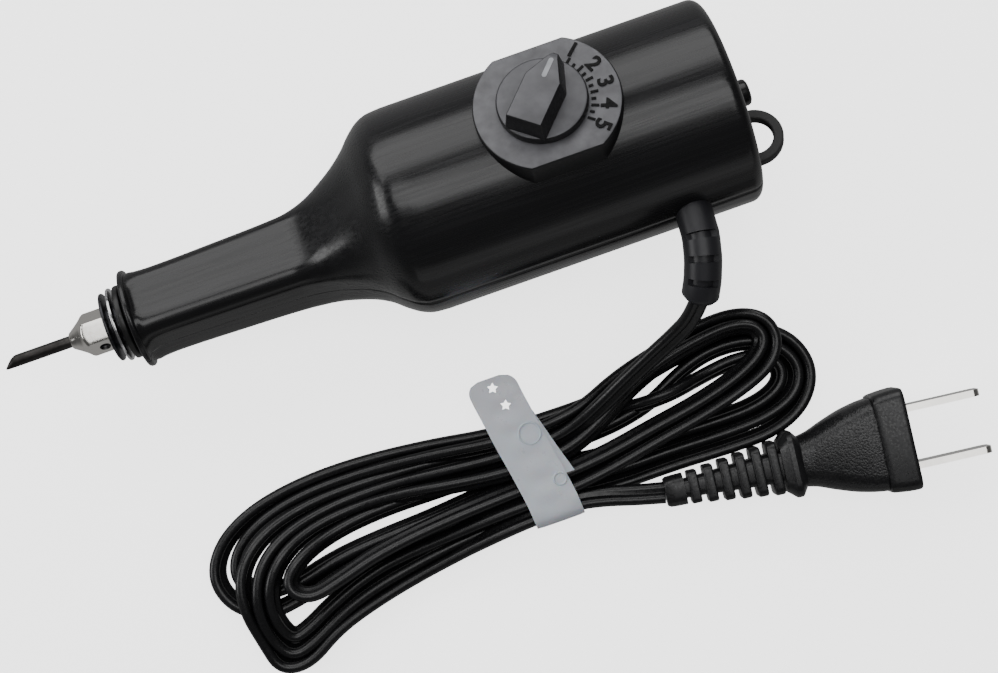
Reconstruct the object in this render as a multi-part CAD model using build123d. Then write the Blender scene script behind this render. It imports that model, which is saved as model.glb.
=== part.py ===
from build123d import *
import math
import os

# Wood burning pen, in millimetres.
#
# Row frame: +X along the pen from the tip to the rear face, +Z up from the table at z = 0, origin under
# the middle of the pen. The pen lies on its barrel and is rolled about its length, so that the dial faces
# up and a little towards +Y. The cord leaves on the -Y side.
#
# Most pieces are made in the pen's own frame: x = 0 where the barrel begins, the x axis along the middle
# of the barrel, and +z out of the dial. PEN puts them in the row frame.

# ---- driving dimensions ----
BARREL_R = 22.5
BARREL_LENGTH = 71.4
WALL = 2.2
REAR_EDGE_R = 2.6
ROLL = 24.0             # how far the dial's normal leans from vertical, towards +Y
PEN_X = 6.5             # the pen frame's origin in the row frame
NOSE_DROP = 5.2         # the grip's middle lies this far below the barrel's, away from the dial

FLANGE_R = 10.8
FLANGE_FRONT = -64.2
FLANGE_BACK = -62.9
FLANGE_BORE_R = 5.0

DIAL_X = 32.4
PLATE_X = 33.3
PLATE_R = 15.4
PLATE_FLAT = 14.0       # the plate's straight sides, from its middle
PLATE_TOP = 24.3
PLATE_THICKNESS = 2.0

KNOB_R = 9.45
KNOB_GAP = 0.3
SKIRT_HEIGHT = 1.9
BAR_HEIGHT = 4.8
NUT_THICKNESS = 1.2
SHAFT_TOP = 5.6         # above the knob's underside
POINTER_ANGLE = 49.0    # the pointer at rest, from the pen's length, at the numeral 1
SHAFT_R = 3.0
RUNNING_GAP = 0.05

TIP_R = 1.3
TIP_END = -93.6
TIP_POINT_LENGTH = 2.2
HOLDER_REAR = -69.8
HOLDER_FLATS = 8.3      # across the flats
TUBE_R = 4.0
TUBE_BORE_R = 3.5

CORD_X = 55.4           # where the cord leaves the barrel, in the pen frame
BUSHING_R = 4.0
CORD_TUBE_D = 3.8       # a round tube of the flat cord's own section area
HANK_TOP = 8.6
STRAP = 1.0
CLAMP_SCREW_X = 51.6
STRAP_X = (7.3, 17.8)

PLUG_FACE = (92.2, -82.2)
PLUG_TURN = -6.5
PLUG_HEIGHT = 14.2

PEN = Location((PEN_X, 0, BARREL_R), (-ROLL, 0, 0))

# (x, half width, corner radius) of the grip and of its flare into the barrel
GRIP_STATIONS = (
    (-63.0, 9.9, 9.0),
    (-61.9, 8.7, 5.4),
    (-60.2, 8.1, 3.8),
    (-57.0, 7.95, 3.5),
    (-42.0, 8.2, 3.5),
    (-28.0, 8.6, 3.5),
    (-23.8, 9.3, 4.5),
    (-20.6, 10.3, 6.0),
    (-17.4, 11.75, 8.0),
    (-14.0, 13.6, 10.6),
    (-10.6, 16.1, 14.0),
    (-7.6, 19.2, 18.2),
    (-5.0, 21.3, 21.2),
    (-2.5, 22.2, 22.2),
    (1.0, 22.4, 22.4),
)
FLARE = (-28.0, -4.0)   # the grip's middle moves over to the barrel's in this stretch

nodes = {}


# ---- helpers ----
def rod(x0, x1, radius, y=0.0, z=0.0):
    """A cylinder along x."""
    return Location(((x0 + x1) / 2, y, z), (0, 90, 0)) * Cylinder(radius, x1 - x0)


def pipe(x0, x1, outer, inner, z=0.0):
    """A tube along x."""
    return rod(x0, x1, outer, z=z) - rod(x0 - 1, x1 + 1, inner, z=z)


def post(x, y, z0, z1, radius):
    """A cylinder along z."""
    return Location((x, y, (z0 + z1) / 2)) * Cylinder(radius, z1 - z0)


def block(x0, x1, y0, y1, z0, z1):
    """A box between two corners."""
    middle = ((x0 + x1) / 2, (y0 + y1) / 2, (z0 + z1) / 2)
    return Location(middle) * Box(x1 - x0, y1 - y0, z1 - z0)


def wire_along(points, radius, radii=None):
    """A round wire along straight runs joined by arcs."""
    if radii is None:
        radii = [0.42 * r for r in corner_radii(points)]
    path = FilletPolyline(*points, radius=radii) if len(points) > 2 else Line(*points)
    start = Plane(origin=path @ 0, z_dir=path % 0)
    return sweep(start * Circle(radius), path=path)


def corner_radii(points, share=1.0):
    """The largest arc that fits each corner of a route, times share."""
    found = []
    for before, at, after in zip(points, points[1:], points[2:]):
        run_in = Vector(*at) - Vector(*before)
        run_out = Vector(*after) - Vector(*at)
        half_turn = math.radians(run_in.get_angle(run_out)) / 2
        found.append(share * min(run_in.length, run_out.length) / math.tan(half_turn))
    return found


def smooth(t):
    """0 to 1 with level ends."""
    t = min(max(t, 0.0), 1.0)
    return t * t * (3 - 2 * t)


def middle_z(x):
    """How the middle of the body runs from the grip's level to the barrel's."""
    return -NOSE_DROP * (1 - smooth((x - FLARE[0]) / (FLARE[1] - FLARE[0])))


def section(x, half, corner, count=48):
    """A square outline with round corners, across the pen at x."""
    flat = half - corner
    points = []
    for i in range(count):
        angle = math.pi / 4 + 2 * math.pi * i / count
        near = abs((angle + math.pi / 4) % (math.pi / 2) - math.pi / 4)
        if half * math.tan(near) <= flat:
            reach = half / math.cos(near)
        else:
            reach = flat * (math.cos(near) + math.sin(near))
            reach += math.sqrt(corner**2 - flat**2 * (1 - math.sin(2 * near)))
        points.append(Vector(x, reach * math.cos(angle), middle_z(x) + reach * math.sin(angle)))
    turns = [i / count for i in range(count + 1)]
    return Wire([Edge.make_spline(points, periodic=True, parameters=turns)])


def lofted(stations):
    """A solid with straight stretches between the outlines at the stations."""
    return Solid.make_loft([section(*station) for station in stations], ruled=True)


def plate_prism(radius, flat, z0, z1):
    """A disc with two straight sides parallel to the pen, under the dial."""
    disc = post(PLATE_X, 0, z0, z1, radius)
    return disc & block(PLATE_X - radius, PLATE_X + radius, -flat, flat, z0, z1)


# ---- housing ----
BOSSES = [(x, y) for x in (6.0, 63.3) for y in (-12.6, 12.6)]
BOARD = (14.0, 59.0, 15.0, -5.6, -4.0)    # x0, x1, half width, z0, z1
BOARD_POSTS = [(19.0, 0.0), (46.0, 9.0)]
SCREW_SEAT = -12.0


def hanging_loop():
    """A half ring with two legs and a bar that the shells trap."""
    outer, inner, thickness, arc_x, y = 6.3, 4.1, 2.5, 72.8, -11.0
    ring = post(arc_x, y, -thickness / 2, thickness / 2, outer)
    ring -= post(arc_x, y, -2, 2, inner)
    ring &= block(arc_x, arc_x + outer, y - outer, y + outer, -2, 2)
    for side in (-1, 1):
        y0, y1 = sorted((y + side * inner, y + side * outer))
        ring += block(67.8, arc_x, y0, y1, -thickness / 2, thickness / 2)
    bar = block(66.6, 67.8, y - outer, y + outer, -thickness / 2, thickness / 2)
    return fillet((ring + bar).edges().filter_by(GeomType.CIRCLE), 0.5)


def outer_form():
    """The closed outside of the body."""
    barrel = rod(0, BARREL_LENGTH, BARREL_R)
    barrel = fillet(barrel.edges().group_by(Axis.X)[-1], REAR_EDGE_R)
    flange = rod(FLANGE_FRONT, FLANGE_BACK, FLANGE_R, z=-NOSE_DROP)
    flange = fillet(flange.edges().filter_by(GeomType.CIRCLE), 0.45)
    lug = fillet(rod(BARREL_LENGTH - 1, BARREL_LENGTH + 4.3, 2.9).edges().group_by(Axis.X)[-1], 1.0)
    plate = plate_prism(PLATE_R, PLATE_FLAT, 12, PLATE_TOP)
    return barrel + lofted(GRIP_STATIONS) + flange + lug + plate


def cavity():
    """The room inside the body."""
    inner = [(-62.4, GRIP_STATIONS[3][1] - WALL, 2.3)]
    for x, half, corner in GRIP_STATIONS[3:]:
        inner.append((x, half - WALL, min(max(corner - 1.2, 2.3), half - WALL)))
    grip = lofted(inner)
    barrel = rod(-0.5, BARREL_LENGTH - WALL, BARREL_R - WALL)
    front_hole = rod(FLANGE_FRONT - 1, -60, FLANGE_BORE_R, z=-NOSE_DROP)
    under_plate = plate_prism(PLATE_R - 2.2, PLATE_FLAT - 2.2, 0, PLATE_TOP - PLATE_THICKNESS)
    bush_hole = post(DIAL_X, 0, 20, 26, 4.1)
    cord_hole = Location((CORD_X, -20, 0), (90, 0, 0)) * Cylinder(BUSHING_R, 12)
    return grip + barrel + front_hole + under_plate + bush_hole + cord_hole


def back_side():
    """Everything on the back side of the parting face, which follows the middle of the body."""
    steps = 8
    xs = [FLARE[0] + (FLARE[1] - FLARE[0]) * i / steps for i in range(steps + 1)]
    line = Spline(*[(x, 0, middle_z(x)) for x in xs], tangents=[(1, 0, 0), (1, 0, 0)])
    low, ahead, behind = -40, -100, 100
    rest = Polyline(
        (FLARE[1], 0, 0), (behind, 0, 0), (behind, 0, low), (ahead, 0, low),
        (ahead, 0, -NOSE_DROP), (FLARE[0], 0, -NOSE_DROP),
    )
    return extrude(make_face([line, rest]), amount=40, dir=(0, 1, 0), both=True)


def housing():
    """The two half shells, with screw bosses and board posts."""
    outside = outer_form()
    shell = outside - cavity()
    back = back_side()
    loop = hanging_loop()
    wide = BARREL_R + 5
    dial_half = shell - back
    back_half = shell & back
    for x, y in BOSSES:
        dial_half += post(x, y, 0, wide, 3.6) & outside
        back_half += post(x, y, -wide, 0, 4.2) & outside
    for x, y in BOSSES:
        dial_half -= post(x, y, -1, 7.5, 1.4)
        back_half -= post(x, y, -wide, 1, 1.4)
        back_half -= post(x, y, -wide, SCREW_SEAT, 2.9)
    for x, y in BOARD_POSTS:
        back_half += post(x, y, -wide, BOARD[3], 2.6) & outside
        back_half -= post(x, y, -14, BOARD[3] + 1, 1.1)
    nodes["dial_half_shell"] = dial_half - loop
    nodes["back_half_shell"] = back_half - loop
    nodes["hanging_loop"] = loop


def pan_screw(x, y, seat, length, radius, head_r, head_h, up=1):
    """A screw whose head sits on seat and whose shank runs away from it; up is the shank's direction."""
    shank = post(x, y, *sorted((seat, seat + up * length)), radius)
    head = post(x, y, *sorted((seat, seat - up * head_h)), head_r)
    slot = block(x - head_r, x + head_r, y - 0.3, y + 0.3,
                 *sorted((seat - up * (head_h - 0.8), seat - up * (head_h + 1))))
    return shank + head - slot


# ---- dial ----
def knob():
    """Round skirt and a tapered pointer bar, made pointing along +x about the z axis."""
    low = PLATE_TOP + KNOB_GAP
    top = low + SKIRT_HEIGHT
    skirt = Location((0, 0, (low + top) / 2)) * Cylinder(KNOB_R, SKIRT_HEIGHT)
    skirt = fillet(skirt.edges().group_by(Axis.Z)[-1], 0.5)
    outline = Polyline((-8.6, -4.5), (2.6, -4.5), (9.0, -1.2), (9.0, 1.2), (2.6, 4.5), (-8.6, 4.5), close=True)
    bar = extrude(Location((0, 0, top - 0.5)) * make_face(outline), amount=BAR_HEIGHT + 0.5, taper=8)
    nose_cut = Location((9.4, 0, top + BAR_HEIGHT + 1.6), (0, 30, 0)) * Box(12, 14, 6)
    body = skirt + (bar - nose_cut)
    nut_room = Location((0, 0, low + 0.65)) * Cylinder(6.8, 1.3)
    bore = Location((0, 0, low + SHAFT_TOP / 2)) * Cylinder(SHAFT_R, SHAFT_TOP)
    flat = block(-4, 4, 1.5, 4, low + 1.6, low + 9)
    clip_room = block(-1.6, 1.6, 1.5, 2.3, low + 2.4, low + SHAFT_TOP)
    return body - nut_room - (bore - flat) - clip_room


def dial():
    """Knob, potentiometer and their fastening."""
    centre = Location((DIAL_X, 0, 0))
    turned = Location((DIAL_X, 0, 0), (0, 0, POINTER_ANGLE))
    low = PLATE_TOP + KNOB_GAP
    inside_face = PLATE_TOP - PLATE_THICKNESS
    body_top = inside_face - 0.6
    body_low = body_top - 8.0
    room_low, room_top = body_low + 1.2, body_low + 4.0
    nodes["control_knob"] = turned * knob()
    nodes["knob_spring_clip"] = turned * block(-1.5, 1.5, 1.5, 2.2, low + 2.4, low + 5.2)
    shaft = post(0, 0, room_low + 0.3, low + SHAFT_TOP, SHAFT_R)
    shaft -= block(-4, 4, 1.5, 4, low + 1.6, low + 9)
    nodes["pot_shaft"] = turned * shaft
    wiper_z = (room_low + 0.3, room_low + 1.8)
    wiper = post(0, 0, *wiper_z, 6.0) - post(0, 0, 0, 40, SHAFT_R)
    wiper -= block(-7, 7, -7, -3.6, 0, 40)
    nodes["pot_wiper"] = turned * wiper
    shaft_hole = post(0, 0, room_top - 1, 40, SHAFT_R + RUNNING_GAP)
    body = post(0, 0, body_low, body_top, 8.2) - post(0, 0, room_low, room_top, 6.4) - shaft_hole
    nodes["pot_body"] = centre * body
    nodes["pot_bushing"] = centre * (post(0, 0, body_top, PLATE_TOP + NUT_THICKNESS + 0.2, 4.0) - shaft_hole)
    nodes["pot_washer"] = centre * (post(0, 0, body_top, inside_face, 6.6) - post(0, 0, 0, 40, 4.0))
    nut = extrude(Location((0, 0, PLATE_TOP)) * RegularPolygon(6.2, 6), amount=NUT_THICKNESS)
    nodes["pot_nut"] = centre * (nut - post(0, 0, 0, 40, 4.0))
    lug_z = body_low + 1.6
    lugs = [block(6.5, 12.4, y - 0.9, y + 0.9, lug_z, lug_z + 0.6) for y in (-4, 0, 4)]
    nodes["pot_terminals"] = centre * Compound([lug - post(0, 0, 0, 40, 8.2) for lug in lugs])
    leads = []
    for y in (-4, 0, 4):
        x = DIAL_X + 11.6
        route = [(x, y, lug_z), (x, y, lug_z - 4), (x - 1.4, y, lug_z - 9), (x - 1.4, y, BOARD[4])]
        leads.append(wire_along(route, 0.55))
    nodes["pot_leads"] = Compound(leads)


# ---- nose: tip, holder, baffles and heater ----
def nose():
    z = -NOSE_DROP
    stem = rod(TIP_END + TIP_POINT_LENGTH, -58.0, TIP_R, z=z)
    base = Plane(origin=(TIP_END + TIP_POINT_LENGTH, 0, z), z_dir=(-1, 0, 0))
    point = Plane(origin=(TIP_END, -0.95, z - 0.2), z_dir=(-1, 0, 0))
    nodes["burning_tip"] = stem + loft([base * Circle(TIP_R), point * Circle(0.22)])

    front, shoulder = -78.5, -75.1
    turned = Polyline((front, 0), (front, 1.55), (shoulder - 0.6, 3.85), (shoulder, 4.1), (HOLDER_REAR - 0.6, 4.65),
                      (HOLDER_REAR, 4.65), (HOLDER_REAR, TUBE_BORE_R), (-66.0, TUBE_BORE_R), (-66.0, 0), close=True)
    form = revolve(Location((0, 0, z)) * (Plane.XZ * make_face(turned)), Axis((0, 0, z), (1, 0, 0)))
    across = Plane(origin=(front - 1, 0, z), x_dir=(0, -math.sin(math.radians(ROLL)), math.cos(math.radians(ROLL))),
                   z_dir=(1, 0, 0))
    corner = HOLDER_FLATS / 2 / math.cos(math.pi / 6)
    hexagon = extrude(across * Rot(0, 0, 30) * RegularPolygon(corner, 6), amount=20)
    screw_turn = Location((-71.6, 0, z), (60 + ROLL, 0, 0))
    screw_hole = screw_turn * post(0, 0, TIP_R, 8, 1.2)
    holder = (form & hexagon) - rod(-90, -60, TIP_R, z=z) - screw_hole
    nodes["tip_holder"] = holder
    screw = post(0, 0, TIP_R, 3.7, 1.2) - block(-1.4, 1.4, -0.25, 0.25, 3.1, 4.2)
    screw = screw_turn * screw
    nodes["grub_screw"] = screw

    nodes["heater_tube"] = pipe(HOLDER_REAR, -36, TUBE_R, TUBE_BORE_R, z)
    nodes["front_baffle"] = pipe(-69.6, -68.9, 7.6, TUBE_R, z)
    nodes["middle_baffle"] = pipe(-67.8, -67.1, 8.15, TUBE_R, z)
    nodes["rear_baffle"] = pipe(-66.3, -65.0, 8.15, TUBE_R, z)
    rear_spacer = pipe(-65.0, -64.3, 5.0, TUBE_R, z) + pipe(-64.3, -62.3, 4.8, TUBE_R, z)
    nodes["baffle_spacers"] = Compound([
        pipe(-68.9, -67.8, 5.0, TUBE_R, z), pipe(-67.1, -66.3, 5.0, TUBE_R, z), rear_spacer,
    ])
    nodes["heater_mount"] = pipe(-62.3, -57.4, 5.7, TUBE_R, z)
    nodes["heater_clip"] = pipe(-57.4, -56.6, 5.0, TUBE_R, z)
    nodes["heater_core"] = pipe(-65.8, -38, 2.3, TIP_R + 0.1, z)
    grooves = [pipe(x, x + 0.5, 2.75, 2.3, z) for x in range(-63, -40)]
    winding = pipe(-63.3, -40.2, 2.5, 2.3, z)
    for groove in grooves:
        winding += groove
    nodes["heater_winding"] = winding
    nodes["mica_sleeve"] = pipe(-65.8, -38, TUBE_BORE_R, 2.85, z)
    leads = []
    for y in (-1.9, 1.9):
        route = [(-38, y, z), (-24, y * 1.1, z + 0.1), (-8, y * 1.5, z + 0.9), (4, y * 2, z + 0.5),
                 (BOARD[0], y * 2, (BOARD[3] + BOARD[4]) / 2)]
        leads.append(wire_along(route, 0.75))
    nodes["heater_leads"] = Compound(leads)


# ---- board ----
def electronics():
    x0, x1, half, z0, top = BOARD
    board = block(x0, x1, -half, half, z0, top)
    for x, y in BOARD_POSTS:
        board -= post(x, y, z0 - 1, top + 1, 1.1)
    board -= post(CLAMP_SCREW_X, -11.7, z0 - 1, top + 1, 1.0)
    nodes["circuit_board"] = board
    nodes["board_screws"] = Compound([pan_screw(x, y, top, 7.5, 1.1, 2.1, 1.5, up=-1) for x, y in BOARD_POSTS])
    nodes["triac"] = block(24, 25.2, 4, 13, top, top + 9) + block(25.2, 28.6, 4, 13, top, top + 7)
    nodes["timing_capacitor"] = fillet(block(22, 34, -12.5, -7, top, top + 8).edges().filter_by(Axis.Z), 1.0)
    nodes["diac"] = rod(31, 35, 1.0, y=2, z=top + 1.0)
    nodes["resistors"] = Compound([rod(37, 43.4, 1.2, y=y, z=top + 1.2) for y in (-11.5, -8.2)])


# ---- cord inside and its bushing ----
BUSHING_END = (56.9, -38.2, 30.4)


def cord_entry():
    inner = [(CORD_X, -17.4, 0), (CORD_X, -9.5, 0), (CORD_X - 1.2, -5.5, -1.2), (CORD_X - 2.0, -2.2, BOARD[4])]
    nodes["cord_inner"] = wire_along(inner, 1.8) - block(40, 70, -20, 20, -20, BOARD[4])
    saddle = block(49.6, 58.8, -13.6, -9.8, BOARD[4], 3.4)
    saddle -= Location((CORD_X, -12, 0), (90, 0, 0)) * Cylinder(1.8, 12)
    saddle -= post(CLAMP_SCREW_X, -11.7, -10, 10, 1.0)
    nodes["cord_clamp"] = saddle - nodes["cord_inner"]
    nodes["cord_clamp_screw"] = pan_screw(CLAMP_SCREW_X, -11.7, 3.4, 7.4, 1.0, 1.9, 1.3, up=-1)

    start = PEN * Location((CORD_X, -21.4, 0))
    out = (PEN * Location((CORD_X, -22.4, 0))).position - start.position
    arc = Edge.make_tangent_arc(start.position, out, Vector(*BUSHING_END))
    sleeve = sweep(Plane(origin=arc @ 0, z_dir=arc % 0) * Circle(BUSHING_R), path=arc)
    neck = PEN * (Location((CORD_X, -19.4, 0), (90, 0, 0)) * Cylinder(BUSHING_R, 4.0))
    collar = PEN * (Location((CORD_X, -18.35, 0), (90, 0, 0)) * Cylinder(5.6, 1.9))
    bushing = sleeve + neck + collar
    for at in (0.36, 0.58, 0.80):
        cut = Plane(origin=arc @ at, z_dir=arc % at) * (Cylinder(6, 1.2) - Cylinder(2.9, 2))
        bushing -= cut
    nodes["cord_bushing"] = bushing


# ---- free cord, hank, tie and plug ----
HANK_OUTLINE = (
    (-61.6, -58.0), (-56.0, -51.4), (-45.0, -47.6), (-30.0, -46.4), (-13.0, -48.2), (2.0, -50.6),
    (13.0, -51.2), (25.0, -49.9), (35.0, -48.0), (44.0, -45.4), (53.5, -42.9), (64.0, -43.4),
    (72.5, -47.4), (77.3, -54.5), (78.0, -62.0), (74.6, -67.6), (67.0, -69.6), (57.0, -69.4),
    (46.0, -70.0), (34.0, -71.2), (22.0, -72.0), (8.0, -72.3), (-8.0, -74.0), (-22.0, -76.2),
    (-34.0, -79.2), (-43.5, -83.8), (-51.0, -85.9), (-57.0, -82.4), (-59.4, -75.5), (-62.2, -66.5),
)
# the flat cord's middle, from the bushing down onto the hank
LEAD_ROUTE = (
    BUSHING_END, (54.5, -41.4, 27.1), (50.2, -43.9, 22.9), (44.6, -46.5, 18.6), (38.2, -49.6, 14.4),
    (31.4, -53.0, 10.6), (24.6, -56.3, 7.6),
)
PLUG = Location((PLUG_FACE[0], PLUG_FACE[1], PLUG_HEIGHT / 2), (0, 0, PLUG_TURN))
RELIEF_END = -54.6


def cord_tube(route, name):
    """A plain round tube along a route of the cord; its arcs are as large as its runs allow."""
    radii = corner_radii(route, share=0.45)
    print(name, "radii", [round(r, 1) for r in radii])
    tube = wire_along(route, CORD_TUBE_D / 2, radii)
    path = FilletPolyline(*route, radius=radii)
    area = math.pi * CORD_TUBE_D**2 / 4
    print(name, "length", round(path.length, 1), "volume ratio", round(tube.volume / (area * path.length), 4))
    return tube


def cord():
    outline = Spline(*HANK_OUTLINE, periodic=True)
    hank = extrude(make_face(outline), amount=HANK_TOP)
    under_strap = block(STRAP_X[0] - 0.3, STRAP_X[1] + 0.3, -80, -40, 0, STRAP)
    hank -= under_strap
    nodes["cord_hank"] = hank
    nodes["cord_lead"] = cord_tube(LEAD_ROUTE, "cord_lead") - hank - nodes["cord_bushing"]

    y_low, y_high = -73.6, -50.0
    x0, x1 = STRAP_X
    ring = block(x0, x1, y_low - STRAP, y_high + STRAP, 0, HANK_TOP + STRAP)
    ring = fillet(ring.edges().filter_by(Axis.X), 1.6)
    ring -= block(x0 - 1, x1 + 1, y_low, y_high, STRAP, HANK_TOP)
    tail = block(x0 + 1.0, x1 - 1.0, y_high - 3, -39.4, HANK_TOP + STRAP, HANK_TOP + 2 * STRAP)
    tail = fillet(tail.edges().filter_by(Axis.Z), 2.0)
    nodes["cord_tie"] = ring + tail


def plug_section(x, width, height, radius):
    return Plane(origin=(x, 0, 0), x_dir=(0, 1, 0), z_dir=(1, 0, 0)) * RectangleRounded(width, height, radius)


def plug():
    head = loft([plug_section(0, 22.6, PLUG_HEIGHT, 2.4), plug_section(-7, 21.4, PLUG_HEIGHT, 2.4)])
    grip = loft([plug_section(-7, 20.6, 13.2, 4.0), plug_section(-13, 18.8, 12.6, 4.4),
                 plug_section(-18, 15.6, 11.4, 4.4), plug_section(-24, 11.4, 9.8, 4.2)])
    guard = loft([plug_section(-24, 11.4, 9.8, 4.2), plug_section(-25.4, 14.6, 12.4, 3.6),
                  plug_section(-26.8, 14.6, 12.4, 3.6), plug_section(-28.4, 12.0, 10.0, 3.0)], ruled=True)
    relief = loft([plug_section(-28.4, 11.8, 9.4, 3.0), plug_section(RELIEF_END, 6.8, 6.4, 2.6)])
    body = head + grip + guard + relief
    for i in range(6):
        x = -30.6 - 3.6 * i
        for side in (-1, 1):
            y = side * (3.7 - 0.24 * i)
            body -= block(x - 0.7, x + 0.7, *sorted((y, y + side * 5)), -8, 8)
    blades = []
    for y in (-6.35, 6.35):
        blade = block(-6, 17.0, y - 0.75, y + 0.75, -3.175, 3.175)
        blade = fillet(blade.edges().filter_by(Axis.Y).group_by(Axis.X)[-1], 1.4)
        body -= blade
        blades.append(blade)
    nodes["plug_body"] = PLUG * body
    nodes["plug_blades"] = PLUG * Compound(blades)

    enter = (PLUG * Location((RELIEF_END, 0, 0))).position
    # from the strain relief back under the hank's edge
    tail_route = (tuple(enter), (31.6, -74.4, 6.6), (25.4, -72.6, 5.2), (19.4, -70.4, 4.2))
    nodes["cord_tail"] = cord_tube(tail_route, "cord_tail") - nodes["cord_hank"] - nodes["plug_body"]


housing()
dial()
nose()
electronics()
nodes["housing_screws"] = Compound([pan_screw(x, y, SCREW_SEAT, 18.5, 1.4, 2.6, 1.9) for x, y in BOSSES])
in_pen_frame = list(nodes)
cord_entry()
for name in ("cord_inner", "cord_clamp", "cord_clamp_screw"):
    in_pen_frame.append(name)
for name in in_pen_frame:
    nodes[name] = PEN * nodes[name]
cord()
plug()

os.makedirs("parts", exist_ok=True)
for name, shape in nodes.items():
    shape.label = name
    export_step(shape, f"parts/{name}.step")
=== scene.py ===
"""Wood burning pen with a heat dial, a bent cord bushing and a flat twin cord folded into a hank.

Sizes are in millimetres and become metres when a mesh is made. Pen sizes are in the pen's own frame:
x runs along the body with 0 where the barrel begins, z points out of the dial.
"""

import logging
import math
from dataclasses import dataclass, field
from enum import Enum

import bmesh
import bpy
import numpy as np
from mathutils import Matrix, Vector


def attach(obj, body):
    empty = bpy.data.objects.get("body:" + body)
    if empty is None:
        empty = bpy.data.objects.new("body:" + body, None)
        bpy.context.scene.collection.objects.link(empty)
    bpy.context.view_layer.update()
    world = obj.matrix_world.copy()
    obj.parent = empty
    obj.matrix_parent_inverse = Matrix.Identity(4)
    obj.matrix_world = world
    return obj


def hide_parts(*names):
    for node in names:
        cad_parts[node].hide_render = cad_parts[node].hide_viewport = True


logging.basicConfig(level=logging.INFO, format="%(message)s")
LOG = logging.getLogger("burning_pen")

MM = 0.001
PEN_BODY = "pen"
DIAL_BODY = "dial"
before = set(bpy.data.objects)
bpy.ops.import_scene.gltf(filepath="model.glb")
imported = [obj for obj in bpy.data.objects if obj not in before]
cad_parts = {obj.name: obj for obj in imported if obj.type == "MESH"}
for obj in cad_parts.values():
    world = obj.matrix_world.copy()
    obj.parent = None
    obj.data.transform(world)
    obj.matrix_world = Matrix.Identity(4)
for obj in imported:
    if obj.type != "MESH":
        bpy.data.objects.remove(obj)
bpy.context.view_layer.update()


# ---------------------------------------------------------------- placing and meshes
@dataclass(frozen=True)
class PenPlacement:
    """Where the pen's own frame lies in the row frame."""

    along: float = 6.5
    barrel_radius: float = 22.5
    roll: float = 24.0
    nose_drop: float = 5.2
    flare_start: float = -28.0
    flare_end: float = -4.0

    def matrix(self) -> Matrix:
        """The move from pen millimetres to row metres."""
        turn = Matrix.Rotation(math.radians(-self.roll), 4, "X")
        return Matrix.Scale(MM, 4) @ Matrix.Translation((self.along, 0, self.barrel_radius)) @ turn

    def middle_z(self, x: float) -> float:
        """Height of the body's middle at x: the grip's lies away from the dial.

        Args:
            x: place along the pen.

        Returns:
            The height, in millimetres.
        """
        t = min(max((x - self.flare_start) / (self.flare_end - self.flare_start), 0.0), 1.0)
        return -self.nose_drop * (1 - t * t * (3 - 2 * t))


PEN = PenPlacement()


def add_object(name: str, points: np.ndarray, faces: list, move: Matrix,
               sharp: float = 32.0) -> bpy.types.Object:
    """Makes a closed mesh object with its faces pointing outwards.

    Args:
        name: the piece's name.
        points: vertex positions, one row each.
        faces: vertex index lists.
        move: from the points' frame to row metres.
        sharp: edges that turn more than this many degrees stay sharp.

    Returns:
        The object, at the origin.
    """
    mesh = bpy.data.meshes.new(name)
    mesh.from_pydata([tuple(p) for p in points], [], faces)
    mesh.transform(move)
    clean_mesh(mesh, sharp)
    made = bpy.data.objects.new(name, mesh)
    bpy.context.scene.collection.objects.link(made)
    return made


def clean_mesh(mesh: bpy.types.Mesh, sharp: float = 32.0) -> None:
    """Merges doubles, turns all faces outwards and sets smooth shading with sharp edges.

    Args:
        mesh: the mesh, changed in place.
        sharp: edges that turn more than this many degrees stay sharp.
    """
    work = bmesh.new()
    work.from_mesh(mesh)
    bmesh.ops.remove_doubles(work, verts=work.verts, dist=2e-7)
    bmesh.ops.dissolve_degenerate(work, edges=work.edges, dist=1e-8)
    bmesh.ops.recalc_face_normals(work, faces=work.faces)
    work.to_mesh(mesh)
    work.free()
    for polygon in mesh.polygons:
        polygon.use_smooth = True
    mesh.set_sharp_from_angle(angle=math.radians(sharp))


def grid_faces(rows: int, columns: int, close_rows: bool, close_columns: bool, first: int = 0) -> list:
    """Quads of a grid of vertices stored row by row.

    Args:
        rows: number of rows.
        columns: vertices in each row.
        close_rows: True if the last row joins the first.
        close_columns: True if each row closes on itself.
        first: index of the first vertex.

    Returns:
        The faces as index tuples.
    """
    faces = []
    for i in range(rows if close_rows else rows - 1):
        for j in range(columns if close_columns else columns - 1):
            a = first + i * columns + j
            b = first + i * columns + (j + 1) % columns
            c = first + (i + 1) % rows * columns + (j + 1) % columns
            d = first + (i + 1) % rows * columns + j
            faces.append((a, b, c, d))
    return faces


def ringed(name: str, rings: np.ndarray, move: Matrix, closed: bool, sharp: float = 32.0) -> bpy.types.Object:
    """A closed form from a stack of rings.

    Args:
        name: the piece's name.
        rings: positions, shaped (rings, points, 3).
        move: from the rings' frame to row metres.
        closed: True if the last ring joins the first, False if both ends are filled.
        sharp: edges that turn more than this many degrees stay sharp.

    Returns:
        The object.
    """
    rows, columns, _ = rings.shape
    faces = grid_faces(rows, columns, closed, True)
    if not closed:
        faces.append(tuple(range(columns)))
        faces.append(tuple((rows - 1) * columns + j for j in range(columns)))
    return add_object(name, rings.reshape(-1, 3), faces, move, sharp)


def lathe(name: str, profile: list, move: Matrix, closed: bool = True, count: int = 96,
          sharp: float = 32.0) -> bpy.types.Object:
    """Turns a profile of (x, radius) pairs about the x axis.

    Args:
        name: the piece's name.
        profile: (x, radius) pairs.
        move: from the profile's frame to row metres.
        closed: True if the last pair joins the first, False if both ends are filled.
        count: points round the axis.
        sharp: edges that turn more than this many degrees stay sharp.

    Returns:
        The object.
    """
    rings = [[(x, r * math.cos(a), r * math.sin(a)) for a in turns_of(count)] for x, r in profile]
    return ringed(name, np.array(rings), move, closed, sharp)


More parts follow.
